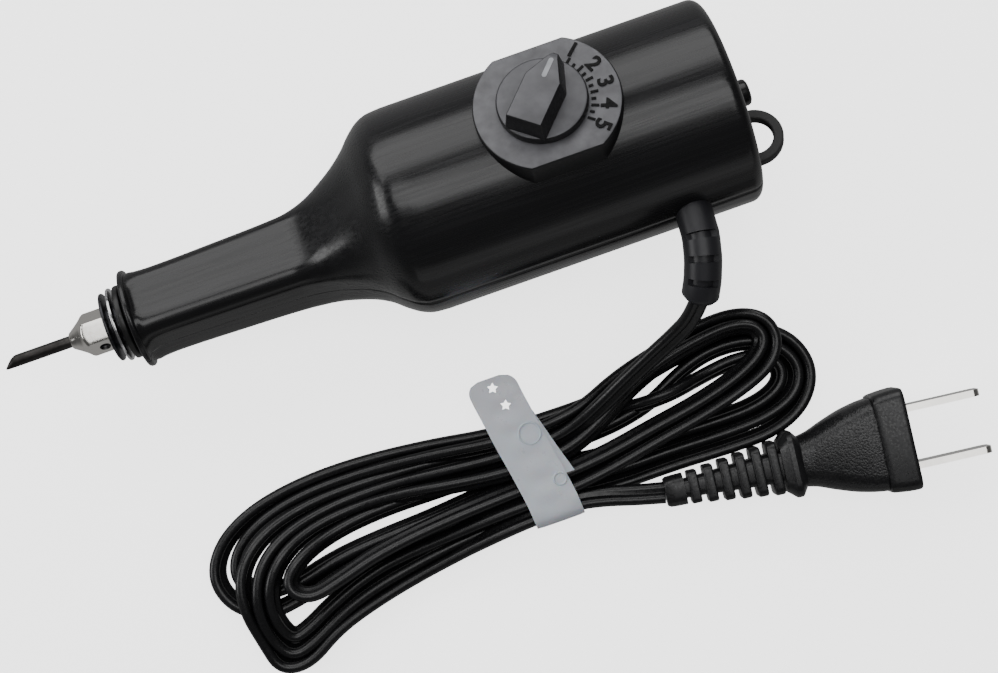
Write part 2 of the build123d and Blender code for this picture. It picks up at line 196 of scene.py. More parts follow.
def join(parts: list, name: str) -> bpy.types.Object:
    """Joins objects into the first, keeps their materials, and names the result.

    Args:
        parts: the objects, of which the first is kept.
        name: the result's name.

    Returns:
        The joined object.
    """
    bpy.ops.object.select_all(action="DESELECT")
    for part in parts:
        part.select_set(True)
    bpy.context.view_layer.objects.active = parts[0]
    bpy.ops.object.join()
    parts[0].name = name
    parts[0].data.name = name
    return parts[0]


def plain_copy(source: bpy.types.Object, name: str) -> bpy.types.Object:
    """A new plain mesh object from the evaluated source, which is then removed.

    Args:
        source: the object, with its modifiers.
        name: the copy's name.

    Returns:
        The copy.
    """
    bpy.context.view_layer.update()
    shaped = source.evaluated_get(bpy.context.evaluated_depsgraph_get())
    mesh = bpy.data.meshes.new_from_object(shaped)
    mesh.transform(source.matrix_world)
    bpy.data.objects.remove(source)
    made = bpy.data.objects.new(name, mesh)
    bpy.context.scene.collection.objects.link(made)
    return made


def carve(target: bpy.types.Object, tool: bpy.types.Object, operation: str = "DIFFERENCE") -> None:
    """Cuts the tool out of the target, or adds it, and removes the tool.

    Args:
        target: the object that changes.
        tool: the object that cuts it, or is added.
        operation: the boolean operation's name.
    """
    cut = target.modifiers.new("carve", "BOOLEAN")
    cut.operation = operation
    cut.solver = "EXACT"
    cut.object = tool
    bpy.context.view_layer.update()
    shaped = target.evaluated_get(bpy.context.evaluated_depsgraph_get())
    mesh = bpy.data.meshes.new_from_object(shaped)
    target.modifiers.remove(cut)
    target.data = mesh
    mesh.name = target.name
    bpy.data.objects.remove(tool)


def turns_of(count: int) -> np.ndarray:
    """Evenly spaced angles of one full turn, in radians."""
    return np.arange(count) * math.tau / count


def even_curve(knots: list, at: np.ndarray) -> np.ndarray:
    """Monotone cubic values through (position, value) knots.

    Args:
        knots: (position, value) pairs in order of position.
        at: the positions wanted.

    Returns:
        The values there.
    """
    xs = np.array([k[0] for k in knots], float)
    ys = np.array([k[1] for k in knots], float)
    gaps = np.diff(xs)
    slopes = np.diff(ys) / gaps
    tangents = np.zeros(len(xs))
    tangents[0], tangents[-1] = slopes[0], slopes[-1]
    for i in range(1, len(xs) - 1):
        if slopes[i - 1] * slopes[i] > 0:
            tangents[i] = 2 * slopes[i - 1] * slopes[i] / (slopes[i - 1] + slopes[i])
    i = np.clip(np.searchsorted(xs, at) - 1, 0, len(gaps) - 1)
    t = (at - xs[i]) / gaps[i]
    rise = (2 * t**3 - 3 * t**2 + 1) * ys[i] + (3 * t**2 - 2 * t**3) * ys[i + 1]
    return rise + gaps[i] * ((t**3 - 2 * t**2 + t) * tangents[i] + (t**3 - t**2) * tangents[i + 1])


def round_square(angles: np.ndarray, half: float, corner: float) -> np.ndarray:
    """Distance from the middle to a square outline with round corners, at each angle.

    Args:
        angles: directions from the middle, in radians.
        half: half the outline's width.
        corner: the corners' radius.

    Returns:
        The distances.
    """
    near = np.abs((angles + math.pi / 4) % (math.pi / 2) - math.pi / 4)
    flat = half - corner
    straight = half / np.cos(near)
    curved = flat * (np.cos(near) + np.sin(near))
    curved += np.sqrt(np.maximum(corner**2 - flat**2 * (1 - np.sin(2 * near)), 0))
    return np.where(half * np.tan(near) <= flat, straight, curved)


class NodeBuilder:
    """Builds a Geometry Nodes tree with named inputs and turns it into a plain mesh."""

    def __init__(self, tree: bpy.types.NodeTree) -> None:
        """Starts the tree with its group input and output."""
        self.tree = tree
        tree.interface.new_socket("Geometry", in_out="OUTPUT", socket_type="NodeSocketGeometry")
        self.source = tree.nodes.new("NodeGroupInput")
        self.sink = tree.nodes.new("NodeGroupOutput")

    def add_input(self, name: str, kind: str) -> None:
        """Adds a named input to the tree."""
        self.tree.interface.new_socket(name, in_out="INPUT", socket_type=kind)

    def inputs(self, name: str) -> bpy.types.NodeSocket:
        """The group input's socket of that name."""
        return self.source.outputs[name]

    def node(self, kind: str) -> bpy.types.Node:
        """A new node of that kind."""
        return self.tree.nodes.new(kind)

    def link(self, source: bpy.types.NodeSocket, node: bpy.types.Node, socket: str) -> None:
        """Joins a socket to a node's input by name."""
        self.tree.links.new(source, node.inputs[socket])

    def math(self, operation: str, *values: object) -> bpy.types.NodeSocket:
        """A math node on sockets or numbers.

        Args:
            operation: the operation's name.
            values: sockets, or floats for fixed values.

        Returns:
            The result's socket.
        """
        node = self.tree.nodes.new("ShaderNodeMath")
        node.operation = operation
        for slot, value in zip(node.inputs, values):
            if isinstance(value, float):
                slot.default_value = value
            else:
                self.tree.links.new(value, slot)
        return node.outputs[0]

    def finish(self, geometry: bpy.types.NodeSocket, material: bpy.types.NodeSocket) -> None:
        """Ends the tree with Realize Instances and Set Material.

        Args:
            geometry: the instances.
            material: the finish's socket.
        """
        real = self.node("GeometryNodeRealizeInstances")
        dress = self.node("GeometryNodeSetMaterial")
        self.tree.links.new(geometry, real.inputs[0])
        self.tree.links.new(real.outputs[0], dress.inputs["Geometry"])
        self.tree.links.new(material, dress.inputs["Material"])
        self.tree.links.new(dress.outputs[0], self.sink.inputs[0])

    def apply(self, name: str, values: dict) -> bpy.types.Object:
        """Runs the tree with these values and returns a plain mesh object.

        Args:
            name: the object's name.
            values: a value for each input, by its name.

        Returns:
            The object.
        """
        holder = bpy.data.objects.new(name + "_nodes", bpy.data.meshes.new(name + "_nodes"))
        bpy.context.scene.collection.objects.link(holder)
        modifier = holder.modifiers.new("nodes", "NODES")
        modifier.node_group = self.tree
        for item in self.tree.interface.items_tree:
            if item.item_type == "SOCKET" and item.in_out == "INPUT":
                modifier[item.identifier] = values[item.name]
        return plain_copy(holder, name)


# ---------------------------------------------------------------- finishes
class Grain(Enum):
    """How a finish's fine pattern lies."""

    EVEN = "even"
    ALONG = "along"
    LEATHER = "leather"


@dataclass(frozen=True)
class Finish:
    """A surface: colour, gloss and the fine pattern in both."""

    name: str
    colour: tuple
    roughness: float
    metallic: float = 0.0
    grain: Grain = Grain.EVEN
    scale: float = 900.0
    colour_change: float = 0.25
    rough_change: float = 0.12
    bump: float = 0.08
    depth: float = 0.00004
    transmission: float = 0.0
    subsurface: float = 0.0
    coat: float = 0.0
    specular: float = 0.5
    glow: float = 0.0

    def make(self) -> bpy.types.Material:
        """Builds the node material, or returns the one already built.

        Returns:
            The material.
        """
        known = bpy.data.materials.get(self.name)
        if known:
            return known
        made = bpy.data.materials.new(self.name)
        made.use_nodes = True
        tree = made.node_tree
        shader = tree.nodes["Principled BSDF"]
        shader.inputs["Metallic"].default_value = self.metallic
        shader.inputs["Transmission Weight"].default_value = self.transmission
        shader.inputs["Subsurface Weight"].default_value = self.subsurface
        shader.inputs["Subsurface Scale"].default_value = 0.002
        shader.inputs["Coat Weight"].default_value = self.coat
        shader.inputs["Coat Roughness"].default_value = 0.08
        shader.inputs["Specular IOR Level"].default_value = self.specular
        shader.inputs["Emission Color"].default_value = (1, 1, 1, 1)
        shader.inputs["Emission Strength"].default_value = self.glow
        place = tree.nodes.new("ShaderNodeTexCoord")
        turn = tree.nodes.new("ShaderNodeMapping")
        turn.inputs["Scale"].default_value = (0.03, 1, 1) if self.grain is Grain.ALONG else (1, 1, 1)
        tree.links.new(place.outputs["Object"], turn.inputs["Vector"])
        broad = self._noise(tree, turn, self.scale * 0.12, 3.0)
        if self.grain is Grain.LEATHER:
            fine = tree.nodes.new("ShaderNodeTexVoronoi")
            fine.feature = "SMOOTH_F1"
            fine.inputs["Scale"].default_value = self.scale
            tree.links.new(turn.outputs["Vector"], fine.inputs["Vector"])
            height = fine.outputs["Distance"]
        else:
            height = self._noise(tree, turn, self.scale, 4.0).outputs["Fac"]
        ramp = tree.nodes.new("ShaderNodeValToRGB")
        low = [c * (1 - self.colour_change) for c in self.colour]
        high = [min(c * (1 + self.colour_change), 1.0) for c in self.colour]
        ramp.color_ramp.elements[0].position = 0.3
        ramp.color_ramp.elements[0].color = (*low, 1)
        ramp.color_ramp.elements[1].position = 0.7
        ramp.color_ramp.elements[1].color = (*high, 1)
        tree.links.new(broad.outputs["Fac"], ramp.inputs["Fac"])
        tree.links.new(ramp.outputs["Color"], shader.inputs["Base Color"])
        spread = tree.nodes.new("ShaderNodeMapRange")
        spread.inputs["From Min"].default_value = 0.3
        spread.inputs["From Max"].default_value = 0.7
        spread.inputs["To Min"].default_value = max(self.roughness - self.rough_change, 0.03)
        spread.inputs["To Max"].default_value = min(self.roughness + self.rough_change, 1.0)
        tree.links.new(height, spread.inputs["Value"])
        tree.links.new(spread.outputs["Result"], shader.inputs["Roughness"])
        relief = tree.nodes.new("ShaderNodeBump")
        relief.inputs["Strength"].default_value = self.bump
        relief.inputs["Distance"].default_value = self.depth
        tree.links.new(height, relief.inputs["Height"])
        tree.links.new(relief.outputs["Normal"], shader.inputs["Normal"])
        return made

    @staticmethod
    def _noise(tree: bpy.types.NodeTree, turn: bpy.types.Node, scale: float, detail: float) -> bpy.types.Node:
        """A noise texture on the mapped coordinates.

        Args:
            tree: the material's node tree.
            turn: the mapping node.
            scale: the noise's scale.
            detail: the noise's detail.

        Returns:
            The noise node.
        """
        noise = tree.nodes.new("ShaderNodeTexNoise")
        noise.inputs["Scale"].default_value = scale
        noise.inputs["Detail"].default_value = detail
        tree.links.new(turn.outputs["Vector"], noise.inputs["Vector"])
        return noise

    def on(self, piece: bpy.types.Object) -> None:
        """Makes this the piece's only finish."""
        piece.data.materials.clear()
        piece.data.materials.append(self.make())

    def on_top(self, piece: bpy.types.Object, walls: "Finish") -> None:
        """Puts this on the faces that look out of the dial, and the other finish on the rest: the lighter top
        is painted light, the near-black sides are the plastic's own colour.

        Args:
            piece: the object, already in place.
            walls: the finish of the sides.
        """
        self.on(piece)
        piece.data.materials.append(walls.make())
        # painted light: faces that turn to the camera and the lamps take the lighter finish, and the sides stay
        # near black
        out = (PEN.matrix().to_3x3() @ Vector((0, 0, 1))).normalized()
        for polygon in piece.data.polygons:
            polygon.material_index = 0 if polygon.normal.dot(out) > 0.8 else 1


class Finishes(Enum):
    """Every finish on the pen, its cord and its inner parts."""

    BODY = Finish("gloss_black_body", (0.008, 0.008, 0.009), 0.27, grain=Grain.ALONG, scale=1500,
                  rough_change=0.08, bump=0.10, depth=0.00003, coat=0.1, specular=0.5)
    # painted light: the dial plate's top is a grey lighter than the black plastic it is moulded in
    DIAL_FACE = Finish("satin_dial_face", (0.13, 0.13, 0.14), 0.45, scale=2600, bump=0.22, depth=0.00005)
    # painted light: the knob's top faces are a grey lighter than its near-black sides
    KNOB = Finish("moulded_knob", (0.11, 0.11, 0.12), 0.42, scale=1800, rough_change=0.06, bump=0.1)
    NUMERAL = Finish("raised_numeral", (0.003, 0.003, 0.003), 0.5, scale=1500, bump=0.05, specular=0.15)
    MARK = Finish("paint_mark", (0.42, 0.43, 0.46), 0.5, scale=1800, bump=0.1)
    NICKEL = Finish("bright_nickel", (0.78, 0.76, 0.72), 0.12, metallic=1.0, scale=1100, colour_change=0.04,
                    rough_change=0.03, bump=0.015)
    TIP = Finish("scaled_tip", (0.055, 0.052, 0.05), 0.45, metallic=0.85, scale=1500, colour_change=0.5,
                 rough_change=0.15, bump=0.4, depth=0.00006)
    DARK_STEEL = Finish("blued_steel", (0.06, 0.06, 0.065), 0.34, metallic=0.9, scale=1400, bump=0.12)
    BRIGHT_STEEL = Finish("bright_steel", (0.66, 0.66, 0.67), 0.22, metallic=1.0, scale=1400, bump=0.06)
    DISC = Finish("heat_disc", (0.012, 0.012, 0.012), 0.38, scale=1500, bump=0.15)
    CORD = Finish("cord_vinyl", (0.009, 0.009, 0.01), 0.3, scale=1300, rough_change=0.08, bump=0.12,
                  depth=0.00003)
    BUSHING = Finish("bushing_rubber", (0.012, 0.012, 0.013), 0.44, scale=1600, bump=0.2)
    PLUG_SMOOTH = Finish("plug_vinyl", (0.011, 0.011, 0.012), 0.34, scale=1700, bump=0.12)
    PLUG_GRIP = Finish("plug_leather_grip", (0.011, 0.011, 0.012), 0.36, grain=Grain.LEATHER, scale=2600,
                       bump=0.4, depth=0.00014)
    MILKY = Finish("milky_vinyl", (0.78, 0.80, 0.87), 0.34, scale=420, colour_change=0.06, rough_change=0.1,
                   bump=0.3, depth=0.0002, transmission=0.08, subsurface=0.2)
    NYLON = Finish("dark_nylon", (0.02, 0.02, 0.02), 0.45, scale=1300)
    CERAMIC = Finish("ceramic", (0.80, 0.76, 0.68), 0.6, scale=2000, colour_change=0.1)
    WINDING = Finish("resistance_wire", (0.38, 0.33, 0.28), 0.35, metallic=1.0, scale=2200)
    MICA = Finish("mica", (0.52, 0.45, 0.30), 0.25, scale=700, colour_change=0.35)
    SLEEVE = Finish("glass_sleeve", (0.72, 0.70, 0.62), 0.7, scale=3200, bump=0.5)
    WIRE = Finish("wire_cover", (0.35, 0.03, 0.03), 0.4, scale=1200)
    POT_CASE = Finish("pot_case", (0.50, 0.51, 0.52), 0.3, metallic=1.0, scale=1000)
    BRASS = Finish("brass", (0.72, 0.52, 0.22), 0.25, metallic=1.0, scale=1000)
    BOARD = Finish("circuit_board", (0.03, 0.16, 0.07), 0.4, scale=1400)
    FILM = Finish("film_case", (0.45, 0.13, 0.03), 0.35, scale=1100)
    # the plastic's own near black, on the sides next to the painted-light tops
    DIAL_WALL = Finish("dark_dial_wall", (0.008, 0.008, 0.009), 0.4, scale=1800, bump=0.1)
    RESISTOR = Finish("resistor_body", (0.62, 0.50, 0.33), 0.45, scale=1500)


# ---------------------------------------------------------------- studio
@dataclass
class Studio:
    """Camera, floor and lights."""

    camera_at: tuple = (0.0149, -0.0316, 0.480)
    image_right: tuple = (0.943, -0.332, 0.0)
    lens: float = 77.7
    floor_half: float = 1.6

    def build(self) -> None:
        """Makes the camera first, then floor and lights."""
        right = Vector(self.image_right).normalized()
        up = Vector((-right.y, right.x, 0))
        view = Matrix((right, up, (0, 0, 1))).transposed().to_4x4()
        data = bpy.data.cameras.new("camera")
        data.lens = self.lens
        data.sensor_width = 36.0
        data.clip_start = 0.01
        camera = bpy.data.objects.new("camera", data)
        camera.matrix_world = Matrix.Translation(self.camera_at) @ view
        bpy.context.scene.collection.objects.link(camera)
        bpy.context.scene.camera = camera
        self._floor()
        self._light("window", (0, 1.25, 0.72), (0, 0.0, 0.02), (2.4, 1.15), 19.0)
        self._light("ceiling", (0.1, 0.16, 1.35), (0.0, 0.0, 0.0), (1.3, 0.6), 6.0)
        self._light("low_fill", (0.1, -1.3, 0.22), (0.0, 0.0, 0.03), (1.6, 0.4), 0.8)
        self._light("nose_card", (-0.9, 0.25, 0.45), (-0.08, 0.0, 0.02), (0.5, 0.5), 2.6)
        self._surroundings()

    @staticmethod
    def _surroundings() -> None:
        """A dim world that is brighter below, so that polished metal mirrors a pale table."""
        world = bpy.data.worlds.new("studio")
        world.use_nodes = True
        tree = world.node_tree
        place = tree.nodes.new("ShaderNodeTexCoord")
        split = tree.nodes.new("ShaderNodeSeparateXYZ")
        tree.links.new(place.outputs["Generated"], split.inputs[0])
        level = tree.nodes.new("ShaderNodeMapRange")
        level.inputs["From Min"].default_value = -0.3
        level.inputs["From Max"].default_value = 0.1
        level.inputs["To Min"].default_value = 0.32
        level.inputs["To Max"].default_value = 0.09
        tree.links.new(split.outputs["Z"], level.inputs["Value"])
        tree.links.new(level.outputs["Result"], tree.nodes["Background"].inputs["Strength"])
        tree.nodes["Background"].inputs["Color"].default_value = (1, 1, 1, 1)
        bpy.context.scene.world = world

    def _floor(self) -> None:
        """A pale table top."""
        half = self.floor_half
        mesh = bpy.data.meshes.new("floor")
        corners = [(-half, -half, 0), (half, -half, 0), (half, half, 0), (-half, half, 0)]
        mesh.from_pydata(corners, [], [(0, 1, 2, 3)])
        floor = bpy.data.objects.new("floor", mesh)
        bpy.context.scene.collection.objects.link(floor)
        surface = Finish("pale_floor", (0.93, 0.93, 0.93), 0.9, scale=60, colour_change=0.005, bump=0.0,
                         glow=2.4)
        surface.on(floor)
        floor.visible_glossy = False
        floor.visible_diffuse = False

    @staticmethod
    def _light(name: str, at: tuple, aim: tuple, size: tuple, power: float) -> None:
        """A soft rectangular light that faces a point.

        Args:
            name: the light's name.
            at: where it stands, in metres.
            aim: the point that it faces.
            size: its width and height.
            power: its power in watts.
        """
        data = bpy.data.lights.new(name, "AREA")
        data.shape = "RECTANGLE"
        data.size, data.size_y = size
        data.energy = power
        lamp = bpy.data.objects.new(name, data)
        lamp.location = at
        lamp.rotation_euler = (Vector(aim) - Vector(at)).to_track_quat("-Z", "Y").to_euler()
        bpy.context.scene.collection.objects.link(lamp)


# ---------------------------------------------------------------- cord, tie and plug
LEAD = (
    (56.9, -38.2, 30.4), (54.5, -41.4, 27.1), (50.2, -43.9, 22.9), (44.6, -46.5, 18.6), (38.2, -49.6, 14.4),
    (31.4, -53.0, 10.6), (24.6, -56.0, 8.5), (18.5, -57.3, 7.3), (6.5, -57.3, 7.1),
)
LEFT_TURNS = {
    "third": (
        (-7, -56.0, 5.8), (-20, -54.9, 2.9), (-34, -55.2, 2.7), (-44.6, -57.6, 5.8), (-51.6, -62.8, 7.1),
        (-54.6, -70.4, 6.9), (-54.2, -78.0, 3.8), (-51.4, -83.0, 2.5), (-46.0, -81.6, 2.5), (-38.5, -77.6, 2.5),
        (-30.5, -74.8, 2.5), (-21, -72.9, 2.5), (-8, -71.0, 2.6), (6.5, -69.9, 2.9), (18.5, -69.7, 2.9),
    ),
    "outer": (
        (-8, -49.4, 2.6), (-24, -47.8, 2.5), (-38, -48.0, 2.5), (-50, -50.3, 2.5), (-58.2, -54.8, 2.5),
        (-62.2, -61.2, 2.5), (-60.2, -68.2, 2.5), (-53.5, -72.6, 2.5), (-44.5, -71.4, 2.5), (-35, -68.6, 2.5),
        (-25, -67.3, 2.5), (-10, -67.0, 2.5), (6.5, -66.4, 2.9), (18.5, -66.2, 2.9),
    ),
    "small": (
        (-8, -59.4, 2.6), (-22, -59.2, 2.5), (-34, -60.4, 3.4), (-42.5, -63.2, 7.1), (-47.2, -67.8, 7.3),
        (-43.4, -72.0, 7.1), (-35, -70.0, 7.1), (-26, -67.4, 7.1), (-12, -65.6, 7.1), (6.5, -64.5, 7.3),
        (18.5, -64.4, 7.3),
    ),
    "fourth": (
        (-6, -59.2, 7.3), (-16, -57.6, 5.6), (-27, -57.0, 2.6), (-38, -57.9, 3.8), (-46.2, -61.4, 7.1),
        (-51.0, -67.4, 7.1), (-52.0, -74.0, 5.1), (-50.2, -79.4, 2.7), (-46.0, -78.2, 2.5), (-40, -75.2, 2.5),
        (-32.5, -72.2, 2.5), (-24, -70.1, 2.5), (-9, -68.9, 4.7), (6.5, -68.0, 7.3), (18.5, -67.9, 7.3),
    ),
    "second": (
        (-8, -51.6, 5.1), (-24, -50.3, 2.6), (-38, -50.6, 2.5), (-48.5, -53.2, 2.5), (-55.4, -57.6, 2.5),
        (-57.4, -63.2, 2.5), (-53.6, -68.0, 2.5), (-45.5, -68.2, 2.5), (-36, -65.8, 2.5), (-26, -64.8, 2.5),
        (-12, -64.2, 2.5), (-2, -63.2, 2.7), (6.5, -62.9, 2.9), (18.5, -62.7, 2.9),
    ),
    "low": (
        (-8, -53.6, 2.6), (-24, -52.6, 2.5), (-38, -52.9, 2.9), (-48.5, -55.6, 6.0), (-55.6, -61.6, 7.0),
        (-57.4, -69.5, 6.9), (-56.2, -78.0, 3.8), (-54.8, -84.9, 2.5), (-48.5, -85.6, 2.5), (-40.5, -80.7, 2.5),
        (-31, -77.7, 2.5), (-20, -75.3, 2.5), (-7, -73.2, 4.3), (6.5, -71.4, 6.9), (18.5, -71.0, 6.9),
    ),
}
RIGHT_TURNS = {
    "wide_low": (
        (29, -71.0, 2.6), (42, -70.9, 2.5), (54, -71.4, 2.5), (65, -71.4, 2.5), (73.2, -68.2, 2.5),
        (77.6, -61.6, 2.5), (75.9, -54.0, 2.5), (69.9, -49.0, 2.5), (61, -47.0, 2.5), (49, -49.2, 2.5),
        (37, -51.6, 2.5), (28, -52.4, 2.6), (18.5, -52.3, 2.9), (6.5, -51.9, 2.9),
    ),
    "middle_low": (
        (30, -67.6, 2.6), (43, -67.4, 2.5), (55, -67.9, 2.5), (65, -67.6, 2.5), (72.4, -65.0, 2.5),
        (75.0, -59.8, 2.5), (72.6, -54.4, 2.5), (66.5, -50.8, 2.5), (58, -50.2, 2.5), (50, -52.4, 2.5),
        (42, -56.6, 2.5), (34, -58.4, 2.5), (27, -58.9, 2.6), (18.5, -59.1, 2.9), (6.5, -59.3, 2.9),
    ),
    "inner_top": (
        (29, -63.4, 7.1), (40, -61.4, 7.0), (51, -59.6, 7.0), (60.4, -57.2, 7.0), (66.6, -54.4, 7.1),
        (69.4, -51.2, 7.1), (68.2, -47.8, 7.1), (63, -46.4, 7.1), (55, -47.2, 7.1), (46.5, -49.0, 7.1),
        (38, -52.2, 7.1), (31, -56.2, 7.2), (24.5, -59.3, 7.3), (18.5, -60.8, 7.3), (6.5, -60.8, 7.3),
    ),
    "outer_top": (
        (29, -66.6, 7.1), (40, -64.4, 7.0), (51, -62.5, 7.0), (61, -60.0, 7.0), (68.6, -57.0, 7.1),
        (72.0, -52.3, 7.1), (70.8, -46.9, 7.1), (65.0, -44.2, 5.8), (56, -44.6, 2.7), (46, -46.5, 2.7),
        (36, -49.0, 3.8), (27, -52.6, 7.0), (18.5, -53.9, 7.3), (6.5, -53.7, 7.2),
    ),
    "inner_low": (
        (30, -64.3, 2.6), (43, -64.2, 2.5), (54, -64.8, 2.5), (63.5, -64.6, 2.5), (69.6, -62.4, 2.5),
        (71.3, -58.6, 2.5), (68.6, -55.2, 2.5), (62.6, -53.8, 2.5), (54, -54.9, 2.7), (47.5, -55.9, 7.1),
        (41, -56.2, 7.1), (35, -55.9, 2.7), (27, -55.6, 2.6), (18.5, -55.7, 2.9), (6.5, -55.4, 2.9),
    ),
}
WINDING_ORDER = (
    ("third", "wide_low"), ("outer", "middle_low"), ("small", "inner_top"), ("fourth", "outer_top"),
    ("second", "inner_low"), ("low", None),
)
TAIL = ((25.4, -72.4, 6.9), (31.6, -74.4, 7.1), (37.9, -76.0, 7.1))


@dataclass
class TwinCord:
    """A flat cord of two round cores side by side, folded into a hank of six turns."""

    lobe_radius: float = 1.25
    lobe_offset: float = 1.2
    web_half: float = 0.5
    lobe_points: int = 9
    lead_tilt: float = 42.0
    hank_tilt: float = 63.0
    tail_tilt: float = 12.0
    length: float = 0.0
    path: np.ndarray = None

    def route(self) -> list:
        """The cord's control points from the bushing to the plug.

        Returns:
            Points in row millimetres.
        """
        points = list(LEAD)
        for left, right in WINDING_ORDER:
            points.extend(LEFT_TURNS[left])
            if right:
                points.extend(RIGHT_TURNS[right])
        points.extend(TAIL)
        return points

    def profile(self) -> list:
        """The cross-section's outline, as (across, up) pairs.

        Returns:
            The pairs, in millimetres.
        """
        reach = math.acos(-math.sqrt(1 - (self.web_half / self.lobe_radius) ** 2))
        outline = []
        for side in (1, -1):
            for i in range(self.lobe_points):
                turn = reach * (2 * i / (self.lobe_points - 1) - 1)
                outline.append((side * (self.lobe_offset + self.lobe_radius * math.cos(turn)),
                                side * self.lobe_radius * math.sin(turn)))
        return outline

    def build(self) -> bpy.types.Object:
        """Returns:
            The cord.
        """
        route = self.route()
        data = bpy.data.curves.new("cord_line", "CURVE")
        data.dimensions = "3D"
        spline = data.splines.new("NURBS")
        spline.points.add(len(route) - 1)
        for point, at in zip(spline.points, route):
            point.co = (at[0] * MM, at[1] * MM, at[2] * MM, 1)
        spline.order_u = 3
        spline.use_endpoint_u = True
        spline.resolution_u = 8
        line = bpy.data.objects.new("cord_line", data)
        bpy.context.scene.collection.objects.link(line)
        bpy.context.view_layer.update()
        sampled = bpy.data.meshes.new_from_object(line.evaluated_get(bpy.context.evaluated_depsgraph_get()))
        path = np.array([v.co[:] for v in sampled.vertices])
        bpy.data.objects.remove(line)
        bpy.data.meshes.remove(sampled)
        runs = np.linalg.norm(np.diff(path, axis=0), axis=1)
        path = path[np.concatenate(([True], runs > 2e-5))]
        runs = np.linalg.norm(np.diff(path, axis=0), axis=1)
        gone = np.concatenate(([0], np.cumsum(runs)))
        self.length = float(gone[-1])
        ahead = np.gradient(path, axis=0)
        ahead /= np.linalg.norm(ahead, axis=1)[:, None]
        across = np.cross(ahead, (0, 0, 1.0))
        across /= np.linalg.norm(across, axis=1)[:, None]
        above = np.cross(across, ahead)
        tilt = self._tilt(gone)
        wide = np.cos(tilt)[:, None] * across + np.sin(tilt)[:, None] * above
        high = np.cos(tilt)[:, None] * above - np.sin(tilt)[:, None] * across
        rings = [path + (u * wide + v * high) * MM for u, v in self.profile()]
        cord = ringed("cord", np.transpose(np.array(rings), (1, 0, 2)), Matrix.Identity(4), False, 60)
        Finishes.CORD.value.on(cord)
        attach(cord, PEN_BODY)
        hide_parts("cord_lead", "cord_hank", "cord_tail")
        self.path = path
        return cord

    def _tilt(self, gone: np.ndarray) -> np.ndarray:
        """How far the flat cord stands on its edge, along its length, in radians.

        Args:
            gone: distances from the bushing, in metres.

        Returns:
            One angle for each distance.
        """
        end = gone[-1]
        knots_at = (0, 0.03, 0.07, end - 0.045, end)
        knots = (self.lead_tilt, self.lead_tilt, self.hank_tilt, self.hank_tilt, self.tail_tilt)
        return np.radians(np.interp(gone, knots_at, knots) + 3.5 * np.sin(gone * 55))


